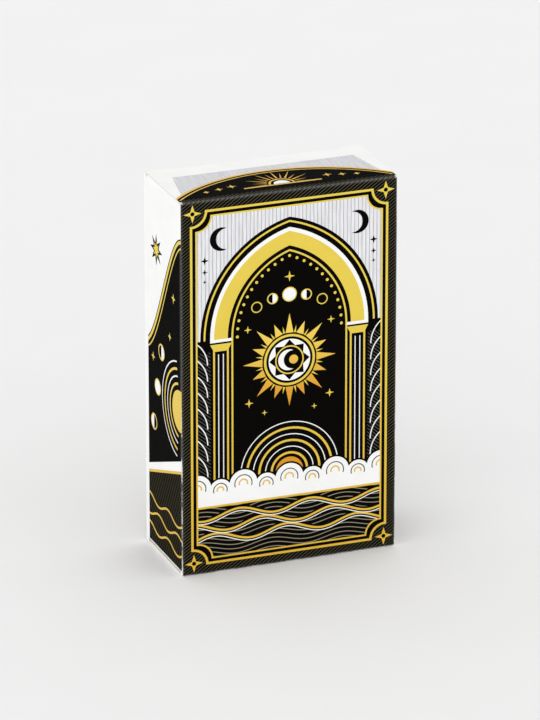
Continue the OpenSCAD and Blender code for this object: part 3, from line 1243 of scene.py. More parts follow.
@dataclass
class PrintedPanel:
    """One panel of the carton: drawn flat, given the board's thickness, then folded and set in place."""

    name: str
    node: str
    origin: Vector
    across: Vector
    up: Vector
    outline: list[Point]
    folds: list[FoldEdge]
    sketch: Sketch
    board: Board
    body: str = "carton"
    slot: str = "printed_board"
    weld: float = 1e-4
    level: float = 1e-6

    def build(self, shelf: InkShelf) -> Object:
        """Make the panel and put it in its solid's place.

        Args:
            shelf: The inks' materials.

        Returns:
            The finished piece, riding on its body.
        """
        inks = sorted({ink for ink, _ in self.sketch.shapes}, key=list(Ink).index)
        inks.append(Ink.BOARD)
        bm = self.flat_print(inks)
        printed = set(bm.faces)
        bmesh.ops.solidify(bm, geom=bm.faces[:], thickness=self.board.thick)
        for face in bm.faces:
            face.smooth = True
            if face not in printed:
                face.material_index = len(inks) - 1
        self.map_print(bm)
        for vert in bm.verts:
            vert.co = self.folded(vert.co) * MM
        bmesh.ops.recalc_face_normals(bm, faces=bm.faces[:])
        mesh = bpy.data.meshes.new(self.name)
        bm.to_mesh(mesh)
        bm.free()
        mesh.set_sharp_from_angle(angle=math.radians(self.board.sharp_angle))
        for ink in inks:
            mesh.materials.append(shelf.get(ink))
        piece = bpy.data.objects.new(self.name, mesh)
        bpy.context.scene.collection.objects.link(piece)
        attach(piece, self.body)
        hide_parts(self.node)
        return piece

    def flat_print(self, inks: list[Ink]) -> BMesh:
        """Cut the flat panel into the patches that its print makes.

        Args:
            inks: The inks in the order of the piece's material slots.

        Returns:
            The panel's outer face, flat, each face carrying the uppermost ink there.
        """
        shapes = [(Ink.BLACK, self.outline), *self.sketch.shapes]
        points: list[Point] = []
        faces = []
        for _, outline in shapes:
            faces.append(list(range(len(points), len(points) + len(outline))))
            points.extend(outline)
        edges = []
        for ends in self.guides():
            edges.append((len(points), len(points) + 1))
            points.extend(ends)
        places, _, triangles, _, _, owners = delaunay_2d_cdt(
            [Vector(p) for p in points], edges, faces, 1, self.weld, True
        )
        bm = bmesh.new()
        corners = [bm.verts.new((p.x, p.y, 0.0)) for p in places]
        for triangle, held in zip(triangles, owners):
            if 0 in held:
                face = bm.faces.new([corners[i] for i in triangle])
                face.material_index = inks.index(shapes[max(held)][0])
        loose = [v for v in bm.verts if not v.link_faces]
        bmesh.ops.delete(bm, geom=loose, context="VERTS")
        return bm

    def guides(self) -> list[tuple[Point, Point]]:
        """Lines along each fold, so that the board bends in even strips and its rubbed edge has an end.

        Returns:
            The two ends of each line.
        """
        lines = []
        for fold in self.folds:
            axis, sign = fold.side.value
            reach = self.board.arc_length(fold.angle)
            steps = [reach * i / self.board.fold_strips for i in range(self.board.fold_strips)]
            for step in (reach - self.board.rub_width, *steps):
                level = fold.start + sign * step
                ends = [(level, s) if axis == 0 else (s, level) for s in fold.span]
                lines.append((ends[0], ends[1]))
        return lines

    def map_print(self, bm: BMesh) -> None:
        """Keep each corner's flat place as the print map, and how far each point lies in a crease.

        Args:
            bm: The flat panel, with its thickness.
        """
        layer = bm.loops.layers.uv.new(PRINT_MAP)
        crease = bm.verts.layers.float.new(CREASE)
        for face in bm.faces:
            for loop in face.loops:
                loop[layer].uv = loop.vert.co.xy
        for vert in bm.verts:
            vert[crease] = max(self.rubbed(fold, vert.co) for fold in self.folds)

    def rubbed(self, fold: FoldEdge, flat: Vector) -> float:
        """How near a flat point lies to the outside of a crease.

        Args:
            fold: The crease.
            flat: The point's place on the panel.

        Returns:
            From nought, well away from it, to one at its edge.
        """
        if not fold.covers(flat):
            return 0.0
        gap = self.board.arc_length(fold.angle) - fold.past(flat)
        return min(1.0, max(0.0, 1 - gap / self.board.rub_width))

    def folded(self, flat: Vector) -> Vector:
        """Carry a point of the flat board to its place on the carton.

        Args:
            flat: Its place on the panel, and its height over the outer face.

        Returns:
            The place in the shared frame, in millimetres.
        """
        out = self.across.cross(self.up)
        axes = (self.across, self.up)
        radius = self.board.fold_radius
        for fold in self.folds:
            past = fold.past(flat)
            if past > -self.level and fold.covers(flat):
                axis, sign = fold.side.value
                crease = self.origin + axes[axis] * fold.start + axes[1 - axis] * flat[1 - axis]
                turn = past / radius
                arm = out * math.cos(turn) + axes[axis] * sign * math.sin(turn)
                return crease - out * radius + arm * (radius + flat.z)
        return self.origin + self.across * flat.x + self.up * flat.y + out * flat.z


@dataclass
class FramedArt(Sketch):
    """Print inside a hatched margin and a double gold rule, with a star in each notched corner."""

    half_w: float
    height: float
    bleed: float = 2.0
    margin: float = 3.6
    rule: float = 0.78
    inner_rule: float = 0.546
    rule_gap: float = 1.7
    notch: float = 5.0
    corner_inset: float = 0.5
    corner_star: Point = (3.0, 1.0)
    corner_dot: float = 0.7
    dot_chords: int = 16

    def __post_init__(self) -> None:
        """Work out the field inside the frame, and the corners of the printed sheet."""
        self.inner = self.margin + self.rule_gap
        self.edge = self.half_w - self.inner
        self.top = self.height - self.inner
        self.low = (-self.half_w, -self.bleed)
        self.high = (self.half_w, self.height + self.bleed)

    def inset(self, gap: float) -> list[Point]:
        """Return a notched frame at a distance inside the panel's edges."""
        high = (self.half_w - gap, self.height - gap)
        return notched_frame((-high[0], gap), high, self.notch)

    def rules(self) -> None:
        """Draw the hatched margin, the frame's two rules and the stars in its corners."""
        self.surround(Ink.BLACK, self.inset(self.inner), self.low, self.high)
        self.surround(Ink.HATCH, self.inset(self.margin), self.low, self.high)
        self.loop(Ink.GOLD, self.inset(self.margin), self.rule)
        self.loop(Ink.GOLD, self.inset(self.inner), self.inner_rule)
        gap = self.margin + self.corner_inset
        for side in (-1, 1):
            for v in (gap, self.height - gap):
                corner = (side * (self.half_w - gap), v)
                self.star(Ink.GOLD, corner, *self.corner_star)
                self.disc(Ink.BLACK, corner, self.corner_dot, self.dot_chords)


@dataclass
class Gate:
    """A pointed gate: an arched gold band outlined in white, on capitals and fluted columns."""

    sketch: Sketch
    foot: float
    half: float = 23.0
    lean: float = 9.0
    spring: float = 79.0
    band: float = 4.6
    dark: float = 4.6
    outer_rule: float = 3.2
    outline: float = 1.3
    lining: float = 1.5
    rule: float = 0.6
    bead_inset: float = 3.2
    bead_gap: float = 2.6
    bead_radius: float = 0.5
    bead_chords: int = 12
    column_pad: float = 1.2
    shaft_drop: float = 3.0
    flute: float = 0.8
    flute_rule: float = 0.3
    flute_drop: float = 5.0
    capital_foot: float = 4.0
    capital_head: float = 1.6
    capital_pad: float = 1.3
    slab: float = 1.0

    def path(self, grow: float, foot: float) -> list[Point]:
        """Return the arch's outline, a distance outside the band's middle line."""
        return pointed_arch(self.half + grow, self.lean, foot, self.spring)

    def draw(self) -> None:
        """Draw the band with its lines, the beads under it and both columns."""
        half = self.band / 2
        self.sketch.fill(Ink.BLACK, self.path(half + self.dark, self.spring))
        self.sketch.line(Ink.GOLD, self.path(half + self.outer_rule, self.spring), self.rule)
        self.sketch.fill(Ink.WHITE, self.path(half + self.outline, self.spring))
        self.sketch.fill(Ink.GOLD, self.path(half, self.spring))
        self.sketch.fill(Ink.BLACK, self.path(-half, self.spring))
        self.sketch.line(Ink.GOLD, self.path(-half - self.lining, self.foot), self.rule)
        self.beads(self.path(-half - self.bead_inset, self.spring))
        for side in (-1, 1):
            self.column(side * self.half)

    def beads(self, path: list[Point]) -> None:
        """Draw a row of beads from an arch's tip down to both of its feet.

        Args:
            path: The arch, whose middle point is its tip.
        """
        tip = len(path) // 2
        self.sketch.disc(Ink.GOLD, path[tip], self.bead_radius, self.bead_chords)
        for half in (path[tip:], path[tip::-1]):
            travelled = 0.0
            for before, after in zip(half, half[1:]):
                travelled += math.dist(before, after)
                if travelled > self.bead_gap:
                    travelled = 0.0
                    self.sketch.disc(Ink.GOLD, after, self.bead_radius, self.bead_chords)

    def column(self, middle: float) -> None:
        """Draw one fluted column with its capital.

        Args:
            middle: The column's place across the panel.
        """
        half, top = self.band / 2, self.spring
        pad = half + self.column_pad
        self.sketch.rect(Ink.BLACK, (middle - pad, self.foot), (middle + pad, top))
        shafts = (
            (Ink.GOLD, half, self.shaft_drop, self.rule),
            (Ink.WHITE, self.flute, self.flute_drop, self.flute_rule),
        )
        for ink, across, drop, width in shafts:
            for u in (middle - across, middle + across):
                self.sketch.line(ink, [(u, self.foot), (u, top - drop)], width)
        wide = half + self.capital_pad
        foot, head = top - self.capital_foot, top - self.capital_head
        below = [(middle - half, foot), (middle + half, foot)]
        self.sketch.fill(Ink.GOLD, [*below, (middle + wide, head), (middle - wide, head)])
        self.sketch.rect(Ink.WHITE, (middle - wide, top - self.slab), (middle + wide, top))


@dataclass
class SunDisc:
    """A rayed sun with a moon in it, the moon's phases above it and stars about it."""

    sketch: Sketch
    middle: float = 69.0
    rays: Rays = Rays((Ink.AMBER,), count=16, inner=9.2, outer=(15.6, 13.4), spread=0.74)
    spikes: Rays = Rays((Ink.GOLD,), count=16, inner=9.2, outer=(11.6,), spread=0.2, start=101.25)
    hub: float = 9.0
    hub_ring: Point = (8.2, 0.8)
    plate: float = 7.0
    plate_tips: int = 8
    plate_star: Point = (6.8, 5.0)
    inner_ring: Point = (4.6, 0.45)
    moon_shift: float = -0.3
    moon_radius: float = 3.5
    dot_shift: float = 1.4
    dot_radius: float = 1.5
    dot_chords: int = 24
    orbit: float = 22.0
    orbit_start: float = 120.0
    orbit_step: float = -15.0
    phases: tuple[Point, ...] = ((1.5, 1.0), (1.5, -0.5), (2.1, 0.0), (1.5, 0.5), (1.5, 1.0))
    phase_rim: float = 0.36
    stars: tuple[Triple, ...] = ((13.6, 56.0, 1.5), (14.0, 80.8, 1.3), (8.4, 52.2, 1.0))
    star_waist: float = 0.3
    top_star_rise: float = 28.0
    top_star: Point = (1.8, 0.5)

    def draw(self) -> None:
        """Draw the sun, the phases and the stars."""
        centre = (0.0, self.middle)
        self.rays.draw(self.sketch, centre)
        self.spikes.draw(self.sketch, centre)
        self.sketch.disc(Ink.BLACK, centre, self.hub, FINE_CIRCLE)
        self.sketch.ring(Ink.GOLD, centre, *self.hub_ring, FINE_CIRCLE)
        self.sketch.disc(Ink.WHITE, centre, self.plate, FINE_CIRCLE)
        self.sketch.star(Ink.BLACK, centre, *self.plate_star, self.plate_tips)
        self.sketch.ring(Ink.GOLD, centre, *self.inner_ring)
        self.sketch.crescent(Ink.WHITE, (self.moon_shift, self.middle), self.moon_radius, 180)
        self.sketch.disc(Ink.AMBER, (self.dot_shift, self.middle), self.dot_radius, self.dot_chords)
        for i, (radius, shade) in enumerate(self.phases):
            place = polar(centre, self.orbit, self.orbit_start + self.orbit_step * i)
            self.sketch.moon(place, radius, shade, self.phase_rim)
        for u, v, size in self.stars:
            for side in (-1, 1):
                self.sketch.star(Ink.GOLD, (side * u, v), size, self.star_waist * size)
        self.sketch.star(Ink.GOLD, (0, self.middle + self.top_star_rise), *self.top_star)


@dataclass
class Water:
    """Fine ripples with a few gold crests over them."""

    sketch: Sketch
    edge: float
    low: float
    top: float
    rises: tuple[float, ...] = (6.6, 10.4, 14.2)
    swell: Swell = Swell(height=1.5, period=24.0, steps=64)
    phase_step: float = 0.33
    shadow_line: float = 2.0
    crest_line: float = 0.7
    foam_gap: float = 0.95
    foam_line: float = 0.3

    def draw(self) -> None:
        """Draw the ripples and the crests."""
        self.sketch.rect(Ink.RIPPLE, (-self.edge, self.low), (self.edge, self.top))
        for i, rise in enumerate(self.rises):
            crest = self.swell.path((-self.edge, self.low + rise), 2 * self.edge, self.phase_step * i)
            self.sketch.line(Ink.BLACK, crest, self.shadow_line)
            self.sketch.line(Ink.GOLD, crest, self.crest_line)
            self.sketch.line(Ink.WHITE, offset(crest, -self.foam_gap), self.foam_line)


@dataclass
class CloudBank:
    """A bank of white clouds with scrolled edges, on a gold rule."""

    sketch: Sketch
    edge: float
    low: float
    count: int = 9
    puffs: tuple[Point, ...] = ((4.7, 6.2), (3.7, 5.0))
    outline: float = 0.6
    fill_height: float = 5.4
    scroll_start: float = -20.0
    scroll_sweep: float = 220.0
    # Each scroll's ink, its share of a puff's radius, its chords and the width of its line.
    scrolls: tuple[tuple[Ink, float, int, float], ...] = (
        (Ink.BLACK, 0.62, 18, 0.32),
        (Ink.GOLD, 0.3, 14, 0.5),
    )
    rule: float = 0.7

    def draw(self) -> None:
        """Draw the clouds, their scrolls and the rule."""
        places = []
        for i in range(self.count):
            radius, rise = self.puffs[i % len(self.puffs)]
            u = -self.edge + 2 * self.edge * i / (self.count - 1)
            places.append(((u, self.low + rise), radius))
        for centre, radius in places:
            self.sketch.disc(Ink.BLACK, centre, radius + self.outline)
        for centre, radius in places:
            self.sketch.disc(Ink.WHITE, centre, radius)
        self.sketch.rect(Ink.WHITE, (-self.edge, self.low), (self.edge, self.low + self.fill_height))
        for centre, radius in places:
            for ink, share, steps, width in self.scrolls:
                scroll = arc(centre, radius * share, self.scroll_start, self.scroll_sweep, steps)
                self.sketch.line(ink, scroll, width)
        self.sketch.rect(Ink.GOLD, (-self.edge, self.low - self.rule), (self.edge, self.low))


@dataclass
class FrontArt(FramedArt):
    """The front panel's print: a gate with a sun and moons under a pale sky, over clouds and water."""

    waterline: float = 23.0
    moon_inset: Point = (8.4, 8.2)
    moon_radius: float = 3.9
    drop_inset: float = 2.8
    drops: tuple[Point, ...] = ((14.8, 1.4), (18.6, 1.0), (21.8, 0.7))
    drop_waist: float = 0.35
    field_inset: float = 3.2
    field_drop: float = 4.0
    feather_count: int = 8
    feather_rise: float = 10.0
    feather_step: float = 5.4
    feather_radius: float = 9.6
    feather_reach: float = 6.0
    feather_line: float = 0.36
    feather_chords: int = 14
    glow_rise: float = 8.5
    glow: Bows = Bows(first=6.0, step=2.1, count=6, start=0, sweep=180, steps=32, lines=(0.75, 0.32))
    glow_core: float = 4.6
    core_chords: int = 24

    def draw(self) -> Sketch:
        """Draw the panel.

        Returns:
            The panel's sketch.
        """
        gate = Gate(self, self.waterline)
        self.rect(Ink.BLACK, self.low, self.high)
        self.sky(gate)
        self.fields(gate)
        gate.draw()
        SunDisc(self).draw()
        foot = (0.0, self.waterline + self.glow_rise)
        self.glow.draw(self, foot)
        self.fill(Ink.AMBER, arc(foot, self.glow_core, 0, 180, self.core_chords))
        Water(self, self.edge, self.inner, self.waterline).draw()
        CloudBank(self, self.edge, self.waterline).draw()
        self.rules()
        return self

    def sky(self, gate: Gate) -> None:
        """Draw the pale panels over the gate, each with a dark moon and falling stars.

        Args:
            gate: The gate that they lie behind.
        """
        self.rect(Ink.SILVER, (-self.edge, gate.spring), (self.edge, self.top))
        for side in (-1, 1):
            moon = (side * (self.edge - self.moon_inset[0]), self.top - self.moon_inset[1])
            self.crescent(Ink.BLACK, moon, self.moon_radius, 180 if side < 0 else 0)
            for drop, size in self.drops:
                place = (side * (self.edge - self.drop_inset), self.top - drop)
                self.star(Ink.BLACK, place, size, self.drop_waist * size)

    def fields(self, gate: Gate) -> None:
        """Draw hatched fields beside the gate, with thin white bows across them.

        Args:
            gate: The gate that they lie beside.
        """
        inner = gate.half - self.field_inset
        for side in (-1, 1):
            high = (side * self.edge, gate.spring - self.field_drop)
            self.rect(Ink.GREY_HATCH, (side * inner, self.waterline), high)
            for i in range(self.feather_count):
                rise = self.waterline + self.feather_rise + self.feather_step * i
                centre = (side * (self.edge + self.feather_reach), rise)
                feather = arc(centre, self.feather_radius, 90 if side > 0 else 0, 90, self.feather_chords)
                self.line(Ink.WHITE, feather, self.feather_line)


@dataclass
class BackArt(FramedArt):
    """The back panel's print: the front's frame round a lattice with a plain medallion."""

    rows: int = 7
    columns: int = 4
    diamond: Point = (0.88, 0.42)
    diamond_rule: float = 0.45
    moon_radius: float = 1.9
    star_size: Point = (2.3, 0.7)
    medallion: float = 12.0
    medallion_ring: Point = (11.3, 0.8)
    rays: Rays = Rays((Ink.AMBER, Ink.GOLD), count=32, inner=6.6, outer=(10.0, 8.4), spread=0.82)
    hub: float = 6.4
    hub_ring: Point = (5.9, 0.6)
    plate: float = 5.0
    plate_moon: Point = (0.3, 3.4)

    def draw(self) -> Sketch:
        """Draw the panel.

        Returns:
            The panel's sketch.
        """
        middle = (0.0, self.height / 2)
        self.rect(Ink.GREY_HATCH, self.low, self.high)
        for row in range(self.rows):
            for column in range(self.columns):
                u = -self.edge + 2 * self.edge * (column + 0.5) / self.columns
                v = self.inner + (self.top - self.inner) * (row + 0.5) / self.rows
                if math.dist((u, v), middle) >= self.medallion:
                    self.lozenge(u, v, row, column)
        self.disc(Ink.BLACK, middle, self.medallion, FINE_CIRCLE)
        self.ring(Ink.GOLD, middle, *self.medallion_ring, FINE_CIRCLE)
        self.rays.draw(self, middle)
        self.disc(Ink.BLACK, middle, self.hub)
        self.ring(Ink.GOLD, middle, *self.hub_ring)
        self.disc(Ink.WHITE, middle, self.plate)
        self.crescent(Ink.BLACK, (self.plate_moon[0], middle[1]), self.plate_moon[1], 0)
        self.rules()
        return self

    def lozenge(self, u: float, v: float, row: int, column: int) -> None:
        """Draw one lozenge of the lattice, with a moon or a star in it by turns.

        Args:
            u: Its place across the panel.
            v: Its height.
            row: Its row, counted from the bottom.
            column: Its column, counted from the left.
        """
        half_u = self.edge / self.columns * self.diamond[0]
        half_v = (self.top - self.inner) / self.rows * self.diamond[1]
        outline = [(u - half_u, v), (u, v - half_v), (u + half_u, v), (u, v + half_v)]
        self.fill(Ink.BLACK, outline)
        self.loop(Ink.GOLD, outline, self.diamond_rule)
        if (row + column) % 2:
            turn = 180 if column < self.columns / 2 else 0
            self.crescent(Ink.WHITE, (u, v), self.moon_radius, turn)
        else:
            self.star(Ink.GOLD, (u, v), *self.star_size)


@dataclass
class SideArt(Sketch):
    """A side panel's print: white above a rising curve, black below with moons, bows and a hatched foot."""

    half_d: float
    height: float
    rear_border: float
    mirrored: bool
    overhang: float = 1.0
    bleed: float = 2.0
    foot_border: float = 2.0
    crest_low: float = 70.0
    crest_rise: float = 44.0
    crest_steps: int = 32
    crest_rules: tuple[Point, ...] = ((1.0, 1.1), (3.0, 0.5))
    emblem_at: Point = (-5.5, 103.0)
    emblem_tips: int = 8
    emblem_outer: Point = (5.4, 2.4)
    emblem_inner: Point = (3.0, 1.4)
    foot_rises: Point = (24.0, 36.0)
    band_rises: Point = (26.5, 40.0)
    foot_rule: float = 0.9
    sun_inset: float = 1.0
    sun_rise: float = 56.0
    sun_radius: float = 7.0
    sun_bows: Bows = Bows(first=9.0, step=2.4, count=4, start=100, sweep=160, steps=30, lines=(0.8, 0.5))
    moon_at: Point = (-8.5, 44.0)
    moon_step: Point = (3.6, 13.0)
    moon_radius: float = 2.3
    moon_rim: float = 0.5
    shades: tuple[float, ...] = (0.5, 0.0, -0.5)
    stars: tuple[Triple, ...] = ((-9.0, 66.0, 1.7), (6.5, 78.0, 1.5), (10.0, 92.0, 1.8))
    star_waist: float = 0.32
    swell: Swell = Swell(height=1.2, period=17.0, steps=40)
    wave_rises: tuple[float, ...] = (7.0, 12.0, 17.0)
    wave_line: float = 0.7

    def __post_init__(self) -> None:
        """Work out the edges of the printed sheet."""
        self.low = (-self.half_d - self.overhang, -self.bleed)
        self.high = (self.half_d + self.overhang, self.height + self.bleed)

    def draw(self) -> Sketch:
        """Draw the panel.

        Returns:
            The panel's sketch, mirrored if it is asked for.
        """
        self.rect(Ink.BLACK, self.low, self.high)
        self.crest()
        self.foot()
        self.lights()
        self.borders()
        if self.mirrored:
            self.shapes = [(ink, mirror(points)) for ink, points in self.shapes]
        return self

    def crest(self) -> None:
        """Draw the white field over the rising curve, with its gold lines and its star."""
        rear, front = self.low[0], self.high[0]
        curve = []
        for i in range(self.crest_steps + 1):
            share = i / self.crest_steps
            ease = share * share * (3 - 2 * share)
            curve.append((rear + (front - rear) * share, self.crest_low + self.crest_rise * ease))
        self.fill(Ink.WHITE, [*curve, self.high, (rear, self.high[1])])
        for inset, width in self.crest_rules:
            self.line(Ink.GOLD, offset(curve, -inset), width)
        self.star(Ink.BLACK, self.emblem_at, *self.emblem_outer, self.emblem_tips)
        self.star(Ink.GOLD, self.emblem_at, *self.emblem_inner, self.emblem_tips)

    def foot(self) -> None:
        """Draw the hatched foot with a white band over it."""
        rear, front = self.low[0], self.high[0]
        slope = [(rear, self.foot_rises[0]), (front, self.foot_rises[1])]
        band = [(front, self.band_rises[1]), (rear, self.band_rises[0])]
        self.fill(Ink.SIDE_HATCH, [self.low, (front, self.low[1]), *reversed(slope)])
        self.fill(Ink.WHITE, slope + band)
        self.line(Ink.GOLD, slope, self.foot_rule)

    def lights(self) -> None:
        """Draw the sun in its bows, the moons and the stars."""
        sun = (self.half_d - self.sun_inset, self.sun_rise)
        self.sun_bows.draw(self, sun)
        self.disc(Ink.GOLD, sun, self.sun_radius)
        for i, shade in enumerate(self.shades):
            place = (self.moon_at[0] + self.moon_step[0] * i, self.moon_at[1] + self.moon_step[1] * i)
            self.moon(place, self.moon_radius, shade, self.moon_rim)
        for u, v, size in self.stars:
            self.star(Ink.GOLD, (u, v), size, self.star_waist * size)

    def borders(self) -> None:
        """Draw the waves on the foot, and the white borders at the rear and the bottom."""
        rear, front = self.low[0], self.high[0]
        for i, rise in enumerate(self.wave_rises):
            wave = self.swell.path((rear, rise), front - rear, 0.5 * (i % 2))
            self.line(Ink.GOLD, wave, self.wave_line)
        if self.rear_border:
            self.rect(Ink.WHITE, self.low, (-self.half_d + self.rear_border, self.high[1]))
        self.rect(Ink.WHITE, self.low, (front, self.foot_border))


@dataclass
class LidArt(Sketch):
    """The lid's print: white, with a pale screen and a black front under a bow, where a sun rises."""

    half_w: float
    front: float
    rear: float
    bleed: float = 2.0
    screen_inset: float = 4.0
    screen_taper: float = 8.0
    screen_rear: float = 7.0
    bow_lift: float = 2.0
    bow_rise: float = 17.5
    bow_steps: int = 56
    bow_rules: tuple[Point, ...] = ((0.3, 0.9), (1.9, 0.5))
    hatch_depth: float = 2.4
    hub_rise: float = 6.4
    sun_radius: float = 8.0
    rays: Rays = Rays(
        (Ink.GOLD, Ink.AMBER), count=13, inner=4.16, outer=(12.0, 9.6), spread=0.62, start=0.0, sweep=195.0
    )
    hub_share: float = 0.62
    ring_share: float = 0.5
    plate_share: float = 0.34
    hub_rule: float = 0.7
    hub_chords: int = 30
    plate_chords: int = 24
    ground_reach: float = 4.0
    ground_drop: float = 1.2
    ground_rule: float = 0.8
    rule_reach: float = 5.0
    star_count: int = 3
    star_at: Point = (16.0, 9.0)
    star_step: Point = (4.6, -1.1)
    star_size: float = 1.7
    star_shrink: float = 0.3
    star_waist: float = 0.5

    def draw(self) -> Sketch:
        """Draw the panel.

        Returns:
            The panel's sketch.
        """
        wide, front = self.half_w + self.bleed, self.front - self.bleed
        near, far = wide - self.screen_inset, wide - self.screen_taper
        level = front + self.screen_inset
        self.rect(Ink.WHITE, (-wide, front), (wide, self.rear + self.bleed))
        screen = [(-near, level), (near, level), (far, self.screen_rear), (-far, self.screen_rear)]
        self.fill(Ink.FINE_SILVER, screen)
        radius = (wide**2 + self.bow_rise**2) / (2 * self.bow_rise)
        sweep = 2 * math.degrees(math.asin(wide / radius))
        middle = (0, self.front + self.bow_lift + self.bow_rise - radius)
        bow = arc(middle, radius, 90 - sweep / 2, sweep, self.bow_steps)
        self.fill(Ink.BLACK, [*bow, (-wide, front), (wide, front)])
        for inset, width in self.bow_rules:
            self.line(Ink.GOLD, offset(bow, inset), width)
        self.rect(Ink.HATCH, (-wide, front), (wide, self.front + self.hatch_depth))
        self.rising_sun()
        for side in (-1, 1):
            for i in range(self.star_count):
                u, v = (at + step * i for at, step in zip(self.star_at, self.star_step))
                size = self.star_size - self.star_shrink * i
                self.star(Ink.GOLD, (side * u, self.front + v), size, self.star_waist)
        return self

    def rising_sun(self) -> None:
        """Draw the half sun and the ground that it rises from."""
        hub, size = (0.0, self.front + self.hub_rise), self.sun_radius
        self.rays.draw(self, hub)
        self.fill(Ink.BLACK, arc(hub, size * self.hub_share, 0, 180, self.hub_chords))
        self.line(Ink.GOLD, arc(hub, size * self.ring_share, 0, 180, self.hub_chords), self.hub_rule)
        self.fill(Ink.WHITE, arc(hub, size * self.plate_share, 0, 180, self.plate_chords))
        reach = size + self.ground_reach
        self.rect(Ink.BLACK, (-reach, hub[1] - self.ground_drop), (reach, hub[1]))
        reach, level = size + self.rule_reach, hub[1] - self.ground_drop / 2
        self.line(Ink.GOLD, [(-reach, level), (reach, level)], self.ground_rule)


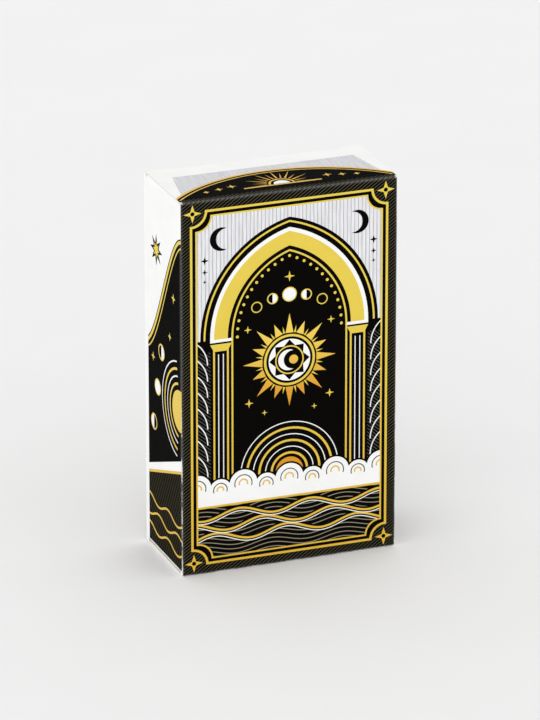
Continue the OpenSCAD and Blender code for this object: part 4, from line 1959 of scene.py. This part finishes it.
@dataclass
class Carton:
    """The folded carton: seven printed panels, dust flaps coated outside, and bare inner flaps."""

    width: float
    depth: float
    height: float
    board: Board = Board()
    lap: float = 0.05
    lid_inset: float = 0.25
    lid_corner: float = 1.5
    lid_chords: int = 8
    tuck_gap: float = 0.3
    tuck_half: float = 34.85
    tuck_length: float = 12.0
    tuck_lean: float = 7.0
    tuck_corner: float = 8.0
    tuck_chords: int = 14
    tuck_bleed: float = 2.0
    tuck_rule: Point = (-4.0, 0.7)
    slit_length: float = 7.0
    slit_width: float = 0.5
    back_drop: float = 0.5
    rear_border: float = 3.0
    dust_gap: float = 0.7
    dust_slit: float = 0.3
    glue_end: float = 1.5
    bottom_gap: float = 0.6
    bottom_inset: float = 5.0
    bottom_notch: float = 3.0
    bottom_rule: float = 0.6
    bottom_star: Point = (4.0, 1.6)
    bottom_tips: int = 8
    cut: float = 0.02

    def __post_init__(self) -> None:
        """Work out the lines that several panels share."""
        board = self.board
        self.half_w = self.width / 2
        self.half_d = self.depth / 2
        self.share = board.arc_length(HALF_FOLD)
        self.fold_w = self.half_w - board.fold_radius
        self.fold_d = self.half_d - board.fold_radius
        self.level = board.thick + self.lap
        self.corner_low = self.level
        self.corner_high = self.height - self.level
        self.tuck_y = self.half_d - board.thick - self.tuck_gap
        self.tuck_fold = self.tuck_half - self.slit_length

    def front(self) -> PrintedPanel:
        """Lay out the front panel, creased on all four edges.

        Returns:
            The panel.
        """
        x, share, cut = self.fold_w, self.share, self.cut
        low, high = self.board.fold_radius, self.height - self.board.fold_radius
        ends = (self.corner_low, self.corner_high)
        right = [
            (x - cut, low - share), (x - cut, low), (x, low), (x, ends[0]), (x + share, ends[0]),
            (x + share, ends[1]), (x, ends[1]), (x, high), (x - cut, high), (x - cut, high + share),
        ]
        folds = [
            FoldEdge(Side.LEFT, -x, ends),
            FoldEdge(Side.RIGHT, x, ends),
            FoldEdge(Side.LOW, low, (-x + cut, x - cut)),
            FoldEdge(Side.HIGH, high, (-x + cut, x - cut)),
        ]
        art = FrontArt(self.half_w, self.height).draw()
        origin = -REARWARD * self.half_d
        outline = right + mirror(right)
        return PrintedPanel(
            "front_print", "front_panel", origin, RIGHTWARD, UPWARD, outline, folds, art, self.board
        )

    def back(self) -> PrintedPanel:
        """Lay out the back panel, creased at its side, its glue flap and its foot.

        Returns:
            The panel.
        """
        right, share, cut = -self.fold_w, self.share, self.cut
        left = self.half_w - self.level - self.board.fold_radius
        low = self.level + self.board.fold_radius
        top = self.height - self.back_drop
        middle = (self.corner_low + self.corner_high) / 2
        glued = (self.corner_high - 2 * self.level) / 2 - self.board.fold_radius - self.glue_end
        seam = (middle - glued, middle + glued)
        outline = [
            (right - share, self.corner_low), (right, self.corner_low), (right, low), (right + cut, low),
            (right + cut, low - share), (left, low - share), (left, seam[0]), (left + share, seam[0]),
            (left + share, seam[1]), (left, seam[1]), (left, top), (right - share, top),
        ]
        folds = [
            FoldEdge(Side.LEFT, right, (self.corner_low, top)),
            FoldEdge(Side.RIGHT, left, seam),
            FoldEdge(Side.LOW, low, (right + cut, left)),
        ]
        art = BackArt(self.half_w, self.height).draw()
        origin = REARWARD * self.half_d
        return PrintedPanel(
            "back_print", "back_panel", origin, -RIGHTWARD, UPWARD, outline, folds, art, self.board
        )

    def side_panel(self, left: bool) -> PrintedPanel:
        """Lay out a side panel, with its dust flaps' folds at head and foot.

        Args:
            left: Whether it is the left one, whose rear edge is cut and laps the glue flap.

        Returns:
            The panel.
        """
        share, slit = self.share, self.dust_slit
        dust_front = self.fold_d - self.dust_gap
        dust_rear = self.tuck_y - self.board.fold_radius - self.dust_gap
        dust = (-dust_rear, dust_front) if left else (-dust_front, dust_rear)
        ends = (-self.half_d if left else -self.fold_d - share, self.fold_d + share)
        low = 2 * self.level + self.board.fold_radius
        high = self.height - self.level - self.board.fold_radius
        tabs = (self.corner_low, self.corner_high)
        outline = [
            (ends[0], tabs[0]), (dust[0] - slit, tabs[0]), (dust[0] - slit, low), (dust[0], low),
            (dust[0], low - share), (dust[1], low - share), (dust[1], low), (dust[1] + slit, low),
            (dust[1] + slit, tabs[0]), (ends[1], tabs[0]), (ends[1], tabs[1]), (dust[1] + slit, tabs[1]),
            (dust[1] + slit, high), (dust[1], high), (dust[1], high + share), (dust[0], high + share),
            (dust[0], high), (dust[0] - slit, high), (dust[0] - slit, tabs[1]), (ends[0], tabs[1]),
        ]
        folds = [FoldEdge(Side.RIGHT, self.fold_d, tabs)]
        if not left:
            folds.append(FoldEdge(Side.LEFT, -self.fold_d, tabs))
        folds += [FoldEdge(Side.LOW, low, dust), FoldEdge(Side.HIGH, high, dust)]
        border = self.rear_border if left else 0.0
        art = SideArt(self.half_d, self.height, border, mirrored=not left).draw()
        name, way = ("left", -1) if left else ("right", 1)
        origin, across = RIGHTWARD * way * self.half_w, REARWARD * way
        return PrintedPanel(
            f"{name}_print", f"{name}_panel", origin, across, UPWARD, outline, folds, art, self.board
        )

    def lid(self) -> PrintedPanel:
        """Lay out the lid, creased on the front panel and slit beside its tuck fold.

        Returns:
            The panel.
        """
        half, share, x = self.half_w - self.lid_inset, self.share, self.fold_w
        front, rear = -self.fold_d, self.tuck_y - self.board.fold_radius
        tip, round_r = self.tuck_y, self.lid_corner
        tuck, slit = self.tuck_fold, self.tuck_fold + self.slit_width
        corner = arc((half - round_r, tip - round_r), round_r, 0, 90, self.lid_chords)
        right = [
            (x, front - share), (x, front), (half, front), *corner, (slit, tip),
            (slit, rear), (tuck, rear), (tuck, rear + share),
        ]
        folds = [FoldEdge(Side.LOW, front, (-x, x)), FoldEdge(Side.HIGH, rear, (-tuck, tuck))]
        art = LidArt(self.half_w, -self.half_d, tip).draw()
        origin = UPWARD * self.height
        outline = right + mirror(right)
        return PrintedPanel(
            "lid_print", "lid_panel", origin, RIGHTWARD, REARWARD,
            outline, folds, art, self.board, body="lid", slot="lid_board",
        )

    def tuck(self) -> PrintedPanel:
        """Lay out the tuck flap, which leans in behind the deck from its fold on the lid.

        Returns:
            The panel.
        """
        angle = HALF_FOLD + self.tuck_lean
        half, length, round_r = self.tuck_half, self.tuck_length, self.tuck_corner
        corner = arc((half - round_r, round_r - length), round_r, -90, 90, self.tuck_chords)
        right = [
            *corner, (half, -self.slit_width), (self.tuck_fold, -self.slit_width),
            (self.tuck_fold, self.board.arc_length(angle)),
        ]
        folds = [FoldEdge(Side.HIGH, 0.0, (-self.tuck_fold, self.tuck_fold), angle)]
        lean = Matrix.Rotation(math.radians(-self.tuck_lean), 3, "X")
        radius = self.board.fold_radius
        origin = Vector((0, self.tuck_y - radius, self.height - radius)) + lean @ REARWARD * radius
        sketch = Sketch()
        sketch.rect(Ink.HATCH, (-half, -length), (half, self.tuck_bleed))
        rise, width = self.tuck_rule
        sketch.line(Ink.GOLD, [(-half, rise), (half, rise)], width)
        outline = right + mirror(right)
        return PrintedPanel(
            "tuck_print", "tuck_flap", origin, -RIGHTWARD, lean @ UPWARD,
            outline, folds, sketch, self.board, body="tuck_flap",
        )

    def bottom(self) -> PrintedPanel:
        """Lay out the bottom flap that shows, creased on the front panel.

        Returns:
            The panel.
        """
        half, share, x = self.half_w - self.lid_inset, self.share, self.fold_w
        front, rear = self.fold_d, -self.half_d + self.bottom_gap
        right = [(half, rear), (half, front), (x, front), (x, front + share)]
        folds = [FoldEdge(Side.HIGH, front, (-x, x))]
        inset = self.bottom_inset
        low, high = (-half + inset, rear + inset), (half - inset, front - inset)
        sketch = Sketch()
        sketch.rect(Ink.BLACK, (-half, rear), (half, front + share))
        sketch.loop(Ink.GOLD, notched_frame(low, high, self.bottom_notch), self.bottom_rule)
        sketch.star(Ink.GOLD, (0, 0), *self.bottom_star, self.bottom_tips)
        origin = Vector((0, 0, 0))
        outline = right + mirror(right)
        return PrintedPanel(
            "bottom_print", "bottom_outer_flap", origin, RIGHTWARD, -REARWARD,
            outline, folds, sketch, self.board,
        )

    def build(self, shelf: InkShelf) -> list[str]:
        """Make the printed panels and dress the inner flaps.

        Args:
            shelf: The inks' materials.

        Returns:
            The names of the pieces.
        """
        sides = [self.side_panel(left=True), self.side_panel(left=False)]
        panels = [self.front(), self.back(), *sides, self.lid(), self.tuck(), self.bottom()]
        names = [panel.build(shelf).name for panel in panels]
        inner = ["glue_flap", "bottom_inner_flap", "bottom_left_dust_flap", "bottom_right_dust_flap"]
        for name in inner:
            dress(name, shelf.get(Ink.BOARD))
        dust = ["left_dust_flap", "right_dust_flap"]
        radius = self.board.fold_radius
        finish = FlapFinish(fold_x=self.fold_w, fold_z=self.corner_high - radius, radius=radius)
        coated = finish.material("dust_flap_board", shelf.groups)
        for name in dust:
            dress(name, coated)
        return names + inner + dust


@dataclass
class Deck:
    """The cards, which keep their solids: five packs, which take the emblems in order."""

    packs: tuple[str, ...] = ("trumps", "wands", "cups", "swords", "coins")

    def build(self, groups: EffectGroups) -> list[str]:
        """Dress every card.

        Args:
            groups: The shared effects.

        Returns:
            The names of the pieces.
        """
        bodies = frame["record"]["behaviour"]["bodies"]
        names = []
        for pack, emblem in zip(self.packs, Emblem):
            nodes = bodies[pack]
            first = min(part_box(node)[0].y for node in nodes) / MM
            finish = CardFinish(emblem=emblem, sheet=Sheet.of(nodes[0]), first=first)
            material = finish.material(f"{pack}_card", groups)
            for node in nodes:
                dress(node, material)
            names += nodes
        return names


@dataclass
class Booklet:
    """The stitched booklet in front of the cards, which keeps its solids."""

    cover: CoverFinish = CoverFinish()
    paper: PaperFinish = PaperFinish(ground="#efeadd", depth=0.12)
    wire: WireFinish = WireFinish()

    def build(self, groups: EffectGroups) -> list[str]:
        """Dress the booklet's pieces.

        Args:
            groups: The shared effects.

        Returns:
            The names of the pieces.
        """
        materials = {
            "booklet_cover": self.cover.material("booklet_cover_paper", groups),
            "booklet_sheets": self.paper.material("booklet_paper", groups),
            "booklet_staples": self.wire.material("staple_wire"),
        }
        for node, material in materials.items():
            dress(node, material)
        return list(materials)


@dataclass
class Studio:
    """A plain pale floor, soft light and the camera."""

    target: Vector
    floor_size: float = 6.0
    floor_colour: str = "#f3f3f3"
    floor_tone: Grain = Grain(0.02, first=0.994, last=1.004)
    floor_roughness: Grain = Grain(0.02, first=0.88, last=0.94)
    sky_low: float = 1.33
    sky_high: float = 0.77
    key_toward: Triple = (-0.6, -0.6, 0.55)
    key_strength: float = 0.33
    key_spread: float = 60.0
    azimuth: float = -20.82
    elevation: float = 21.1
    distance: float = 2.0
    lens: float = 315.0
    sensor: float = 36.0
    shift: float = -0.0011
    clip_end: float = 20.0

    def build(self) -> None:
        """Lay the floor, set the lights and place the camera."""
        self.floor()
        self.world()
        self.key_lamp()
        self.camera()

    def floor(self) -> None:
        """Lay a floor under the object, marked as no part of it."""
        bm = bmesh.new()
        bmesh.ops.create_grid(bm, x_segments=1, y_segments=1, size=self.floor_size / 2)
        mesh = bpy.data.meshes.new("floor")
        bm.to_mesh(mesh)
        bm.free()
        surface = Surface("floor_paper")
        graph = surface.graph
        place = graph.millimetres()
        values = {
            "Base Color": graph.tinted(linear(self.floor_colour), graph.cloud(place, self.floor_tone)),
            "Roughness": graph.cloud(place, self.floor_roughness),
            "Specular IOR Level": 0.0,
        }
        mesh.materials.append(surface.finish(values))
        floor = bpy.data.objects.new("floor", mesh)
        bpy.context.scene.collection.objects.link(floor)
        floor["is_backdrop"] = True

    def world(self) -> None:
        """Light the scene from a white sky, which is brighter at the horizon than overhead."""
        world = bpy.data.worlds.new("studio")
        world.use_nodes = True
        graph = Graph(world.node_tree)
        toward = graph.add("ShaderNodeTexCoord").outputs["Generated"]
        strength = graph.remap(graph.axes(toward)["Z"], 0.0, 1.0, self.sky_low, self.sky_high)
        sky = world.node_tree.nodes["Background"]
        sky.inputs["Color"].default_value = (1.0, 1.0, 1.0, 1.0)
        graph.feed(sky.inputs["Strength"], strength)
        bpy.context.scene.world = world

    def key_lamp(self) -> None:
        """Set a broad far lamp to the left of the camera."""
        lamp = bpy.data.lights.new("key_lamp", "SUN")
        lamp.energy = self.key_strength
        lamp.angle = math.radians(self.key_spread)
        holder = bpy.data.objects.new("key_lamp", lamp)
        holder.rotation_euler = Vector(self.key_toward).to_track_quat("Z", "Y").to_euler()
        bpy.context.scene.collection.objects.link(holder)

    def camera(self) -> None:
        """Place the camera at the photograph's angle."""
        turn, rise = math.radians(self.azimuth), math.radians(self.elevation)
        back = Vector((math.sin(turn) * math.cos(rise), -math.cos(turn) * math.cos(rise), math.sin(rise)))
        lens = bpy.data.cameras.new("camera")
        lens.lens = self.lens
        lens.sensor_width = self.sensor
        lens.shift_x = self.shift
        lens.clip_end = self.clip_end
        holder = bpy.data.objects.new("camera", lens)
        holder.location = self.target + back * self.distance
        holder.rotation_euler = back.to_track_quat("Z", "Y").to_euler()
        bpy.context.scene.collection.objects.link(holder)
        bpy.context.scene.camera = holder


def main() -> None:
    """Build the carton, the deck, the booklet and the studio."""
    logging.basicConfig(level=logging.INFO, format="%(name)s: %(message)s")
    low, high = (Vector(corner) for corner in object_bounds())
    size = (high - low) / MM
    groups = EffectGroups()
    carton = Carton(width=size.x, depth=size.y, height=size.z)
    for name in carton.build(InkShelf(groups)) + Deck().build(groups) + Booklet().build(groups):
        piece = bpy.data.objects[name]
        log.info("%s: %d faces", name, len(piece.data.polygons))
    Studio(target=(low + high) / 2).build()
    bpy.context.scene.view_settings.view_transform = "Standard"


if __name__ == "__main__":
    main()
